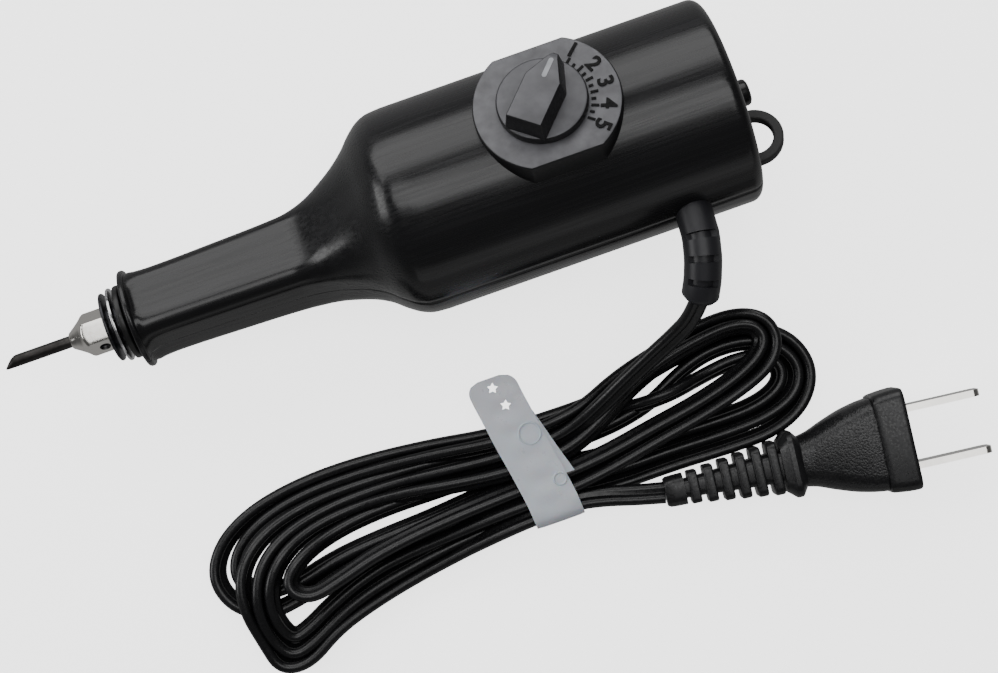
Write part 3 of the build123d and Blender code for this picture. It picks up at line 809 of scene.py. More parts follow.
@dataclass
class CordTie:
    """A milky vinyl strap with a snap, wound once round the hank, with a free end on top."""

    width: float = 11.0
    thickness: float = 0.65
    strap_top: float = 10.7
    path: tuple = (
        (15.3, -64.5, 9.6), (13.1, -57, 9.65), (11.9, -52.6, 9.55), (11.2, -50.2, 8.7), (11.0, -49.5, 5.4),
        (11.0, -50.0, 2.0), (11.2, -51.4, 0.75), (11.5, -54, 0.45), (12.6, -62, 0.42), (13.8, -70.2, 0.45),
        (14.2, -72.8, 0.8), (14.3, -74.0, 2.4), (14.4, -74.2, 5.2), (14.4, -73.8, 8.4), (14.3, -72.4, 10.0),
        (14.1, -69.5, 10.4), (13.0, -62, 10.4), (11.6, -54, 10.45), (10.8, -48.5, 10.35), (10.1, -44, 10.25),
        (9.6, -39.5, 9.95),
    )
    holes: tuple = ((9.8, -41.8), (11.3, -46.2))
    end_round: float = 3.0

    def build(self) -> bpy.types.Object:
        """Makes the strap, its snap and its holes, and dresses them.

        Returns:
            The tie.
        """
        at = np.linspace(0, 1, len(self.path))
        fine = np.linspace(0, 1, 150)
        xs, ys, zs = (even_curve(list(zip(at, [p[i] for p in self.path])), fine) for i in range(3))
        along = np.concatenate(([0], np.cumsum(np.hypot(np.diff(ys), np.diff(zs)))))
        left = along[-1] - along
        shares = np.linspace(-1, 1, 11)
        side_y, side_z = -np.gradient(zs), np.gradient(ys)
        size = np.hypot(side_y, side_z)
        side_y, side_z = side_y / size, side_z / size
        rings = []
        for i in range(len(fine)):
            past = max(self.end_round - left[i], 0)
            trim = self.end_round - math.sqrt(max(self.end_round**2 - past**2, 0))
            half = self.width / 2 - trim
            wave = 0.12 * math.sin(ys[i] * 1.1)
            ring = []
            for face in (1, -1):
                for s in shares[::face]:
                    lift = face * self.thickness / 2 * (1 - 0.35 * abs(s) ** 6)
                    lift += wave * math.cos(s * 2.2)
                    ring.append((xs[i] + s * half, ys[i] + side_y[i] * lift, zs[i] + side_z[i] * lift))
            rings.append(ring)
        strap = ringed("strap", np.array(rings), Matrix.Scale(MM, 4), False, 50)
        for hole in self.holes:
            carve(strap, self._star(hole))
        clean_mesh(strap.data, 50)
        parts = [strap, self._ring((14.2, -53.7), 2.4, 0.55), self._ring((17.2, -65.2), 1.35, 0.5)]
        for part in parts:
            Finishes.MILKY.value.on(part)
        tie = join(parts, "cord_tie_strap")
        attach(tie, PEN_BODY)
        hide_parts("cord_tie")
        return tie

    @staticmethod
    def _star(at: tuple) -> bpy.types.Object:
        """A five-pointed tool for the snap's star-shaped holes.

        Args:
            at: the hole's middle, in row millimetres.

        Returns:
            The tool.
        """
        long, short = 1.25, 0.68
        corners = [(long if i % 2 == 0 else short, a) for i, a in enumerate(turns_of(10))]
        rings = [[(at[0] + reach * math.cos(a), at[1] + reach * math.sin(a), z) for reach, a in corners]
                 for z in (8.4, 12.0)]
        return ringed("star", np.array(rings), Matrix.Scale(MM, 4), False)

    def _ring(self, at: tuple, radius: float, wall: float) -> bpy.types.Object:
        """A low moulded ring that stands on the strap.

        Args:
            at: the ring's middle, in row millimetres.
            radius: the middle radius of its wall.
            wall: the wall's width.

        Returns:
            The ring.
        """
        top = self.strap_top
        outer, inner = radius + wall / 2, radius - wall / 2
        section = ((outer, -0.3), (outer, 0.12), (radius, 0.26), (inner, 0.12), (inner, -0.3))
        rings = [[(at[0] + r * math.cos(a), at[1] + r * math.sin(a), top + h) for a in turns_of(40)]
                 for r, h in section]
        return ringed("snap_ring", np.array(rings), Matrix.Scale(MM, 4), True)


@dataclass
class Plug:
    """A moulded two-blade plug with a guard flange and a ladder strain relief."""

    face: tuple = (92.2, -82.2)
    height: float = 14.2
    turn: float = -6.5
    rib_count: int = 6
    rib_start: float = -30.2
    rib_pitch: float = 3.6
    small_end: float = 0.62
    head: tuple = (
        (0.0, 22.0, 13.6, 2.4), (-0.35, 22.5, 14.1, 2.5), (-1.0, 22.6, 14.2, 2.5), (-6.3, 21.6, 14.1, 2.5),
        (-6.8, 21.2, 13.7, 2.5), (-6.9, 20.4, 13.1, 3.4),
    )
    grip: tuple = (
        (-6.7, 20.2, 12.9, 3.8), (-7.1, 20.6, 13.1, 3.9), (-9, 20.2, 13.1, 4.0), (-13, 18.6, 12.6, 4.4),
        (-18, 15.3, 11.4, 4.4), (-22, 12.2, 10.2, 4.2), (-24.2, 11.2, 9.8, 4.1),
    )
    guard: tuple = (
        (-24.0, 11.2, 9.6, 3.4), (-25.3, 14.4, 12.2, 3.2), (-25.6, 14.7, 12.5, 3.2), (-26.6, 14.7, 12.5, 3.2),
        (-26.9, 14.4, 12.2, 3.2), (-28.5, 11.6, 10.0, 3.0),
    )
    core: tuple = (
        (-28.0, 7.2, 7.8, 1.6), (-40, 5.6, 6.2, 1.5), (-50.2, 4.3, 4.9, 1.4), (-50.3, 7.0, 6.4, 2.2),
        (-54.0, 6.7, 6.2, 2.2), (-54.6, 6.0, 5.6, 2.0),
    )

    def matrix(self) -> Matrix:
        """The move from plug millimetres to row metres."""
        turn = Matrix.Rotation(math.radians(self.turn), 4, "Z")
        return Matrix.Scale(MM, 4) @ Matrix.Translation((*self.face, self.height / 2)) @ turn

    def _block(self, name: str, sections: tuple, step: float, sharp: float) -> bpy.types.Object:
        """A form along x through rounded-rectangle sections (x, width, height, corner).

        Args:
            name: the part's name.
            sections: (x, width, height, corner) in plug millimetres.
            step: the spacing of its rings.
            sharp: edges that turn more than this many degrees stay sharp.

        Returns:
            The part.
        """
        keys = sorted(sections)
        count = max(int((keys[-1][0] - keys[0][0]) / step), 2)
        xs = np.unique(np.concatenate((np.linspace(keys[0][0], keys[-1][0], count), [k[0] for k in keys])))
        sizes = [even_curve([(k[0], k[i]) for k in keys], xs) for i in (1, 2, 3)]
        rings = []
        for x, wide, high, corner in zip(xs, *sizes):
            ring = []
            for quarter, (sy, sz) in enumerate(((1, 1), (-1, 1), (-1, -1), (1, -1))):
                for i in range(7):
                    a = math.pi / 2 * (quarter + i / 6)
                    ring.append((x, sy * (wide / 2 - corner) + corner * math.cos(a),
                                 sz * (high / 2 - corner) + corner * math.sin(a)))
            rings.append(ring)
        return ringed(name, np.array(rings), self.matrix(), False, sharp)

    def build(self) -> list:
        """Makes the plug in its two finishes, and dresses its blades.

        Returns:
            The plug and its blades.
        """
        head = self._block("plug_head", self.head, 1.0, 40)
        grip = self._block("plug_grip", self.grip, 0.6, 40)
        guard = self._block("plug_guard", self.guard, 4.0, 20)
        core = self._block("plug_relief_core", self.core, 2.0, 40)
        ribs = self._ribs()
        for part in (head, guard, core, ribs):
            Finishes.PLUG_SMOOTH.value.on(part)
        Finishes.PLUG_GRIP.value.on(grip)
        plug = join([head, grip, guard, core, ribs], "plug")
        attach(plug, PEN_BODY)
        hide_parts("plug_body")
        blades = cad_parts["plug_blades"]
        Finishes.NICKEL.value.on(blades)
        return [plug, blades]

    def _ribs(self) -> bpy.types.Object:
        """The strain relief's ribs, placed along its core by Geometry Nodes.

        Returns:
            The ribs as one object.
        """
        rib = self._rib_shape()
        tree = bpy.data.node_groups.new("rib_ladder", "GeometryNodeTree")
        build = NodeBuilder(tree)
        build.add_input("Rib", "NodeSocketObject")
        build.add_input("Count", "NodeSocketInt")
        for socket in ("Start", "Step", "Small End"):
            build.add_input(socket, "NodeSocketFloat")
        build.add_input("Finish", "NodeSocketMaterial")
        line = build.node("GeometryNodeMeshLine")
        build.link(build.inputs("Count"), line, "Count")
        index = build.node("GeometryNodeInputIndex")
        along = build.math("MULTIPLY_ADD", index.outputs[0], build.inputs("Step"), build.inputs("Start"))
        spot = build.node("ShaderNodeCombineXYZ")
        build.link(along, spot, "X")
        place = build.node("GeometryNodeSetPosition")
        build.link(line.outputs["Mesh"], place, "Geometry")
        build.link(spot.outputs[0], place, "Position")
        last = build.math("SUBTRACT", build.inputs("Count"), 1.0)
        share = build.math("DIVIDE", index.outputs[0], last)
        less = build.math("SUBTRACT", build.inputs("Small End"), 1.0)
        size = build.math("MULTIPLY_ADD", share, less, 1.0)
        scale = build.node("ShaderNodeCombineXYZ")
        scale.inputs["X"].default_value = 1.0
        build.link(size, scale, "Y")
        build.link(size, scale, "Z")
        shape = build.node("GeometryNodeObjectInfo")
        build.link(build.inputs("Rib"), shape, "Object")
        copies = build.node("GeometryNodeInstanceOnPoints")
        build.link(place.outputs[0], copies, "Points")
        build.link(shape.outputs["Geometry"], copies, "Instance")
        build.link(scale.outputs[0], copies, "Scale")
        build.finish(copies.outputs[0], build.inputs("Finish"))
        values = {"Rib": rib, "Count": self.rib_count, "Start": self.rib_start, "Step": -self.rib_pitch,
                  "Small End": self.small_end, "Finish": Finishes.PLUG_SMOOTH.value.make()}
        made = build.apply("plug_relief_ribs", values)
        bpy.data.objects.remove(rib)
        made.data.transform(self.matrix())
        clean_mesh(made.data, 40)
        return made

    @staticmethod
    def _rib_shape() -> bpy.types.Object:
        """One rib with round edges, across x.

        Returns:
            The rib.
        """
        rings = []
        for x, inset in ((-1.1, 0.35), (-0.95, 0.1), (-0.7, 0.0), (0.7, 0.0), (0.95, 0.1), (1.1, 0.35)):
            ring = []
            for quarter, (sy, sz) in enumerate(((1, 1), (-1, 1), (-1, -1), (1, -1))):
                for i in range(6):
                    a = math.pi / 2 * (quarter + i / 5)
                    corner = 1.7 - inset
                    ring.append((x, sy * 4.2 + corner * math.cos(a), sz * 3.0 + corner * math.sin(a)))
            rings.append(ring)
        return ringed("rib", np.array(rings), Matrix.Identity(4), False)


@dataclass
class Bushing:
    """The bent rubber sleeve that the cord leaves the barrel through."""

    cord_x: float = 55.4
    start_y: float = -21.2
    end: tuple = (56.9, -38.2, 30.4)
    radius: float = 4.0
    core: float = 2.9
    groove_half: float = 0.62
    grooves: tuple = (0.34, 0.56, 0.78)
    window_middle: float = -31.0
    window_half: float = 50.0

    def build(self) -> bpy.types.Object:
        """Sweeps the grooved profile along a circular arc.

        Returns:
            The sleeve.
        """
        move = PEN.matrix()
        start = (move @ Vector((self.cord_x, self.start_y, 0))) / MM
        ahead = (move @ Vector((self.cord_x, self.start_y - 1, 0)) / MM - start).normalized()
        chord = Vector(self.end) - start
        axis = ahead.cross(chord).normalized()
        inward = axis.cross(ahead)
        bend = chord.length_squared / (2 * chord.dot(inward))
        centre = start + inward * bend
        sweep = 2 * ahead.angle(chord)
        length = bend * sweep
        middle = math.radians(self.window_middle)
        edge = math.cos(math.radians(self.window_half))
        spots = [(-4.0, self.radius), (0.0, self.radius)]
        for share in self.grooves:
            at = share * length
            half = self.groove_half
            spots += [(at - half - 0.05, self.radius), (at - half, self.core), (at + half, self.core),
                      (at + half + 0.05, self.radius)]
        rounded = ((1.3, 0.0), (0.9, 0.12), (0.15, 0.85), (0.0, 1.2))
        spots += [(length - back, self.radius - inset) for back, inset in rounded]
        spots += [(length, 1.9), (length - 2.5, 1.7)]
        rings = []
        for gone, radius in spots:
            turn = Matrix.Rotation(max(gone, 0.0) / bend, 3, axis)
            at = centre + turn @ (start - centre) + ahead * min(gone, 0.0)
            out = turn @ (-inward)
            ring = []
            for a in turns_of(48):
                reach = radius
                if radius == self.core and abs(math.cos(a - middle)) < edge:
                    reach = self.radius
                ring.append(at + reach * (math.cos(a) * out + math.sin(a) * axis))
            rings.append(ring)
        sleeve = ringed("cord_bushing_sleeve", np.array(rings), Matrix.Scale(MM, 4), False, 35)
        Finishes.BUSHING.value.on(sleeve)
        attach(sleeve, PEN_BODY)
        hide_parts("cord_bushing")
        return sleeve


# ---------------------------------------------------------------- body
@dataclass
class Housing:
    """The two half shells of the body, with the dial's plate and numerals."""

    barrel_radius: float = 22.5
    barrel_length: float = 71.4
    rear_round: float = 2.6
    wall: float = 2.2
    bore_radius: float = 5.0
    seam_depth: float = 0.18
    seam_angle: float = 0.012
    half_steps: int = 72
    flange: tuple = (
        (-64.2, 10.3), (-64.08, 10.62), (-63.8, 10.8), (-63.3, 10.8), (-63.02, 10.62), (-62.9, 10.3),
    )
    halves: tuple = (
        (-62.9, 9.7), (-62.6, 9.25), (-61.9, 8.72), (-60.2, 8.12), (-57, 7.95), (-42, 8.2), (-28, 8.6),
        (-23.8, 9.3),
        (-20.6, 10.3), (-17.4, 11.75), (-14, 13.6), (-10.6, 16.1), (-7.6, 19.2), (-5.0, 21.3), (-2.5, 22.25),
        (0.5, 22.5),
    )
    corners: tuple = (
        (-62.9, 8.8), (-62.6, 7.6), (-61.9, 5.4), (-60.2, 3.8), (-57, 3.5), (-42, 3.5), (-28, 3.5),
        (-23.8, 4.5),
        (-20.6, 6.0), (-17.4, 8.0), (-14, 10.6), (-10.6, 14.0), (-7.6, 18.2), (-5.0, 21.1), (-2.5, 22.25),
        (0.5, 22.5),
    )
    dial_x: float = 32.4
    plate_x: float = 33.3
    screw_places: tuple = ((6.0, -12.6), (6.0, 12.6), (63.3, -12.6), (63.3, 12.6))
    boss_radius: float = 4.2
    screw_head_radius: float = 2.9
    screw_hole_radius: float = 1.45
    screw_seat: float = -12.0
    wall_middle: float = 21.4
    plate_radius: float = 15.4
    plate_flat: float = 13.4
    plate_top: float = 24.3
    numeral_radius: float = 13.3
    numeral_size: float = 4.7
    numeral_angles: tuple = (45.0, 21.0, 0.0, -22.0, -43.0)
    scale_span: tuple = (43.0, -41.0)
    tick_count: int = 11

    def stations(self) -> list:
        """Outer and inner (x, half, corner) pairs from the front bore to the rear face's middle.

        Returns:
            The pairs, from front to rear.
        """
        pairs = []
        for i, (x, radius) in enumerate(self.flange):
            pairs.append(((x, radius, radius), (-64.2 + 0.5 * i, self.bore_radius, self.bore_radius)))
        stretches = ((-62.85, -58, 12), (-57, -30, 14), (-29, 0.5, 46))
        xs = np.concatenate([np.linspace(*stretch) for stretch in stretches])
        halves = even_curve(list(self.halves), xs)
        corners = np.minimum(even_curve(list(self.corners), xs), halves)
        for x, half, corner in zip(xs, halves, corners):
            inner_half = max(half - self.wall, 5.75) if x > -60 else self.bore_radius
            inner_corner = min(max(corner - 1.2, 2.3), inner_half) if x > -60 else self.bore_radius
            pairs.append(((x, half, corner), (max(x, -61.4), inner_half, inner_corner)))
        straight = self.barrel_length - self.rear_round
        inner_radius = self.barrel_radius - self.wall
        inner_end = self.barrel_length - self.wall
        for x in np.linspace(2.5, straight - 1, 24):
            pairs.append(((x, self.barrel_radius, self.barrel_radius), (x, inner_radius, inner_radius)))
        for i in range(9):
            a = math.pi / 2 * i / 8
            x = straight + self.rear_round * math.sin(a)
            radius = self.barrel_radius - self.rear_round * (1 - math.cos(a))
            inner = min(x, inner_end)
            inner_r = inner_radius - 0.4 * i / 8
            pairs.append(((x, radius, radius), (inner, inner_r, inner_r)))
        for share in (0.97, 0.85, 0.6, 0.3, 0.0):
            outer_r = (self.barrel_radius - self.rear_round) * share
            inner_r = (inner_radius - 0.4) * share
            pairs.append(((self.barrel_length, outer_r, outer_r), (inner_end, inner_r, inner_r)))
        return pairs

    def _half(self, name: str, start: float) -> bpy.types.Object:
        """One half shell, from the angle start on, as a closed wall.

        Args:
            name: the shell's name.
            start: the angle of its first edge, in radians.

        Returns:
            The shell.
        """
        step = self.seam_angle
        inside = np.linspace(step, math.pi - step, self.half_steps)
        angles = start + np.concatenate(([0], inside, [math.pi]))
        pairs = self.stations()
        columns, rows = len(angles), len(pairs)
        sheets = []
        for which in (0, 1):
            rings = []
            for pair in pairs:
                x, half, corner = pair[which]
                reach = round_square(angles, half, corner) if half > 0 else np.zeros(columns)
                if which == 0 and half > 1:
                    reach[[0, -1]] -= self.seam_depth
                middle = PEN.middle_z(x)
                rings.append([(x, r * math.cos(a), middle + r * math.sin(a)) for r, a in zip(reach, angles)])
            sheets.append(np.array(rings).reshape(-1, 3))
        faces = grid_faces(rows, columns, False, False)
        faces += grid_faces(rows, columns, False, False, rows * columns)
        inner = rows * columns
        for j in range(columns - 1):
            faces.append((j, j + 1, inner + j + 1, inner + j))
        for j in (0, columns - 1):
            for i in range(rows - 1):
                a, b = i * columns + j, (i + 1) * columns + j
                faces.append((a, b, inner + b, inner + a))
        return add_object(name, np.concatenate(sheets), faces, PEN.matrix(), 38)

    def _post(self, x: float, y: float, spots: list) -> bpy.types.Object:
        """A turned tool or pillar along pen z from (height, radius) spots, closed at both ends.

        Args:
            x: place along the pen.
            y: place across it.
            spots: (height, radius) pairs.

        Returns:
            The post.
        """
        rings = [[(x + r * math.cos(a), y + r * math.sin(a), z) for a in turns_of(48)] for z, r in spots]
        return ringed("post", np.array(rings), PEN.matrix(), False)

    def build(self) -> list:
        """Makes both shells, with their openings, and the dial's plate.

        Returns:
            The dial's side and the back.
        """
        front = self._half("dial_half", 0.0)
        back = self._half("back_half", math.pi)
        carve(front, self._post(self.dial_x, 0, [(12, 10.5), (30, 10.5)]))
        head, hole = self.screw_head_radius, self.screw_hole_radius
        for x, y in self.screw_places:
            outside = -math.sqrt(self.wall_middle**2 - y**2) - 12
            carve(back, self._boss(x, y), "UNION")
            drill = [(outside, head), (self.screw_seat, head), (self.screw_seat, hole), (2.0, hole)]
            carve(back, self._post(x, y, drill))
        for shell in (front, back):
            clean_mesh(shell.data, 38)
            Finishes.BODY.value.on(shell)
        plate = self._plate()
        # painted light on the plate's top faces, and its walls in the body's near black
        Finishes.DIAL_FACE.value.on_top(plate, Finishes.DIAL_WALL.value)
        stud = [(70, 2.9), (74.9, 2.9), (75.4, 2.65), (75.7, 2.1), (75.7, 0.0), (70, 0.0)]
        lug = lathe("lug", stud, PEN.matrix())
        Finishes.BODY.value.on(lug)
        dial_side = join([front, plate, *self._numerals(), self._ticks(), lug], "dial_half_body")
        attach(dial_side, PEN_BODY)
        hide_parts("dial_half_shell")
        back.name = "back_half_body"
        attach(back, PEN_BODY)
        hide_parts("back_half_shell")
        return [dial_side, back]

    def _boss(self, x: float, y: float) -> bpy.types.Object:
        """A screw pillar whose outer end follows the middle of the barrel's wall.

        Args:
            x: place along the pen.
            y: place across it.

        Returns:
            The pillar.
        """
        spots = [(x + self.boss_radius * math.cos(a), y + self.boss_radius * math.sin(a)) for a in turns_of(48)]
        low = [(px, py, -math.sqrt(self.wall_middle**2 - py**2)) for px, py in spots]
        high = [(px, py, -0.2) for px, py in spots]
        return ringed("boss", np.array([low, high]), PEN.matrix(), False)

    def _plate(self) -> bpy.types.Object:
        """The dial's plate: a disc with two straight sides, hollow underneath, with the bush hole.

        Returns:
            The plate.
        """
        cut = math.asin(self.plate_flat / self.plate_radius)
        corners = [cut, math.pi - cut, math.pi + cut, math.tau - cut]
        turns = np.unique(np.concatenate((turns_of(120), corners)))

        def outline(inset: float, z: float) -> list:
            """The plate's outline, moved in by inset."""
            ring = []
            for a in turns:
                straight = (self.plate_flat - inset) / max(abs(math.sin(a)), 1e-6)
                reach = min(self.plate_radius - inset, straight)
                ring.append((self.plate_x + reach * math.cos(a), reach * math.sin(a), z))
            return ring

        def circle(radius: float, z: float) -> list:
            """A round ring about the dial's axis."""
            return [(self.dial_x + radius * math.cos(a), radius * math.sin(a), z) for a in turns]

        top, low, under = self.plate_top, 12.0, self.plate_top - 2.0
        edge = ((0, low), (0, 17), (0, 20), (0, top - 0.45), (0.1, top - 0.2), (0.25, top - 0.06), (0.5, top))
        rings = [outline(inset, z) for inset, z in edge]
        rings += [circle(radius, top) for radius in (12, 9, 4.1)]
        rings += [circle(4.1, under), outline(2.2, under), outline(2.2, low)]
        return ringed("plate", np.array(rings), PEN.matrix(), True)

    def _numerals(self) -> list:
        """The raised numbers 1 to 5 round the dial, tops outwards.

        Returns:
            One object for each number.
        """
        made = []
        for number, degrees in enumerate(self.numeral_angles, start=1):
            data = bpy.data.curves.new(f"number_{number}", "FONT")
            data.body = str(number)
            data.size = self.numeral_size
            data.align_x = "CENTER"
            data.align_y = "CENTER"
            data.extrude = 0.16
            data.offset = 0.1
            text = bpy.data.objects.new(f"number_{number}", data)
            bpy.context.scene.collection.objects.link(text)
            mesh = plain_copy(text, f"number_{number}")
            a = math.radians(degrees)
            turn = Matrix.Rotation(a - math.pi / 2, 4, "Z")
            spot = (self.dial_x + self.numeral_radius * math.cos(a), self.numeral_radius * math.sin(a),
                    self.plate_top + 0.1)
            mesh.data.transform(PEN.matrix() @ Matrix.Translation(spot) @ turn)
            clean_mesh(mesh.data, 30)
            Finishes.NUMERAL.value.on(mesh)
            made.append(mesh)
        return made

    def _ticks(self) -> bpy.types.Object:
        """The scale's marks, long and short in turn, made by Geometry Nodes.

        Returns:
            The marks as one object.
        """
        tree = bpy.data.node_groups.new("scale_marks", "GeometryNodeTree")
        build = NodeBuilder(tree)
        build.add_input("Count", "NodeSocketInt")
        for socket in ("First", "Step", "Radius", "Length", "Width"):
            build.add_input(socket, "NodeSocketFloat")
        build.add_input("Finish", "NodeSocketMaterial")
        line = build.node("GeometryNodeMeshLine")
        build.link(build.inputs("Count"), line, "Count")
        index = build.node("GeometryNodeInputIndex")
        angle = build.math("MULTIPLY_ADD", index.outputs[0], build.inputs("Step"), build.inputs("First"))
        odd = build.math("MODULO", index.outputs[0], 2.0)
        size = build.math("MULTIPLY_ADD", odd, -0.42, 1.0)
        long = build.math("MULTIPLY", size, build.inputs("Length"))
        middle = build.math("MULTIPLY_ADD", long, 0.5, build.inputs("Radius"))
        spot = build.node("ShaderNodeCombineXYZ")
        build.link(build.math("MULTIPLY", middle, build.math("COSINE", angle)), spot, "X")
        build.link(build.math("MULTIPLY", middle, build.math("SINE", angle)), spot, "Y")
        place = build.node("GeometryNodeSetPosition")
        build.link(line.outputs["Mesh"], place, "Geometry")
        build.link(spot.outputs[0], place, "Position")
        bar = build.node("GeometryNodeMeshCube")
        bar.inputs["Size"].default_value = (1, 1, 0.3)
        scale = build.node("ShaderNodeCombineXYZ")
        build.link(long, scale, "X")
        build.link(build.inputs("Width"), scale, "Y")
        scale.inputs["Z"].default_value = 1.0
        turn = build.node("ShaderNodeCombineXYZ")
        build.link(angle, turn, "Z")
        copies = build.node("GeometryNodeInstanceOnPoints")
        build.link(place.outputs[0], copies, "Points")
        build.link(bar.outputs["Mesh"], copies, "Instance")
        build.link(scale.outputs[0], copies, "Scale")
        build.link(turn.outputs[0], copies, "Rotation")
        build.finish(copies.outputs[0], build.inputs("Finish"))
        first, last = (math.radians(a) for a in self.scale_span)
        values = {"Count": self.tick_count, "First": first, "Step": (last - first) / (self.tick_count - 1),
                  "Radius": 9.9, "Length": 1.6, "Width": 0.5, "Finish": Finishes.NUMERAL.value.make()}
        made = build.apply("scale_marks", values)
        made.data.transform(PEN.matrix() @ Matrix.Translation((self.dial_x, 0, self.plate_top + 0.1)))
        clean_mesh(made.data, 30)
        return made


@dataclass
class Knob:
    """The heat knob: a round skirt with a tapered pointer bar."""

    dial_x: float = 32.4
    low: float = 24.6
    radius: float = 9.45
    skirt: float = 1.9
    bar: float = 4.8
    taper: float = 8.0
    pointer_angle: float = 49.0
    outline: tuple = ((-8.6, -4.5), (2.6, -4.5), (9.0, -1.2), (9.0, 1.2), (2.6, 4.5), (-8.6, 4.5))

    def matrix(self) -> Matrix:
        """From the knob's own frame, pointing along x, to row metres."""
        turn = Matrix.Rotation(math.radians(self.pointer_angle), 4, "Z")
        return PEN.matrix() @ Matrix.Translation((self.dial_x, 0, 0)) @ turn

    def build(self) -> bpy.types.Object:
        """Makes skirt, bar and mark, and dresses them.

        Returns:
            The knob.
        """
        top = self.low + self.skirt
        rim = self.radius
        profile = [(self.low, 7.0), (self.low, rim - 0.2), (self.low + 0.15, rim), (top - 0.5, rim),
                   (top - 0.3, rim - 0.07), (top - 0.1, rim - 0.27), (top, rim - 0.6), (top, 6.0), (top, 0.0),
                   (top - 0.35, 0.0), (top - 0.35, 7.0)]
        rings = [[(r * math.cos(a), r * math.sin(a), z) for a in turns_of(112)] for z, r in profile]
        skirt = ringed("skirt", np.array(rings), self.matrix(), True)
        bar = self._bar(top)
        for part in (skirt, bar):
            # painted light on the knob's top faces, and its sides near black
            Finishes.KNOB.value.on_top(part, Finishes.DIAL_WALL.value)
        mark = self._mark(top)
        Finishes.MARK.value.on(mark)
        knob = join([skirt, bar, mark], "heat_knob")
        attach(knob, DIAL_BODY)
        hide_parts("control_knob")
        return knob

    def _bar(self, base: float) -> bpy.types.Object:
        """The pointer bar: tapered sides, a slanted nose, and rounded edges.

        Args:
            base: height of the skirt's top.

        Returns:
            The bar.
        """
        work = bmesh.new()
        pull = math.tan(math.radians(self.taper)) * self.bar
        bottom = [work.verts.new((x, y, base - 0.4)) for x, y in self.outline]
        upper = []
        for x, y in self.outline:
            inward = (x - math.copysign(pull * 0.8, x), y - math.copysign(pull, y))
            upper.append(work.verts.new((*inward, base + self.bar)))
        work.faces.new(bottom)
        work.faces.new(upper)
        for i in range(len(bottom)):
            j = (i + 1) % len(bottom)
            work.faces.new((bottom[i], bottom[j], upper[j], upper[i]))
        slant = Vector((math.sin(math.radians(30)), 0, math.cos(math.radians(30))))
        cut = bmesh.ops.bisect_plane(work, geom=work.verts[:] + work.edges[:] + work.faces[:],
                                     plane_co=(7.2, 0, base + self.bar), plane_no=slant, clear_outer=True)
        rim = [e for e in cut["geom_cut"] if isinstance(e, bmesh.types.BMEdge)]
        bmesh.ops.contextual_create(work, geom=rim)
        bmesh.ops.recalc_face_normals(work, faces=work.faces)
        bmesh.ops.bevel(work, geom=work.edges[:] + work.verts[:], offset=0.38, segments=3, affect="EDGES",
                        profile=0.6)
        mesh = bpy.data.meshes.new("bar")
        work.to_mesh(mesh)
        work.free()
        mesh.transform(self.matrix())
        clean_mesh(mesh, 24)
        made = bpy.data.objects.new("bar", mesh)
        bpy.context.scene.collection.objects.link(made)
        return made

    def _mark(self, base: float) -> bpy.types.Object:
        """The painted line on the bar's top, with round ends.

        Args:
            base: height of the skirt's top.

        Returns:
            The line.
        """
        z = base + self.bar
        middle, half_run, end = 4.6, 1.8, 0.5
        rings = []
        for height in (z - 0.1, z + 0.05):
            ring = []
            for a in turns_of(32):
                x = middle + math.copysign(half_run, math.cos(a)) + end * math.cos(a)
                ring.append((x, end * math.sin(a), height))
            rings.append(ring)
        return ringed("mark", np.array(rings), self.matrix(), False)


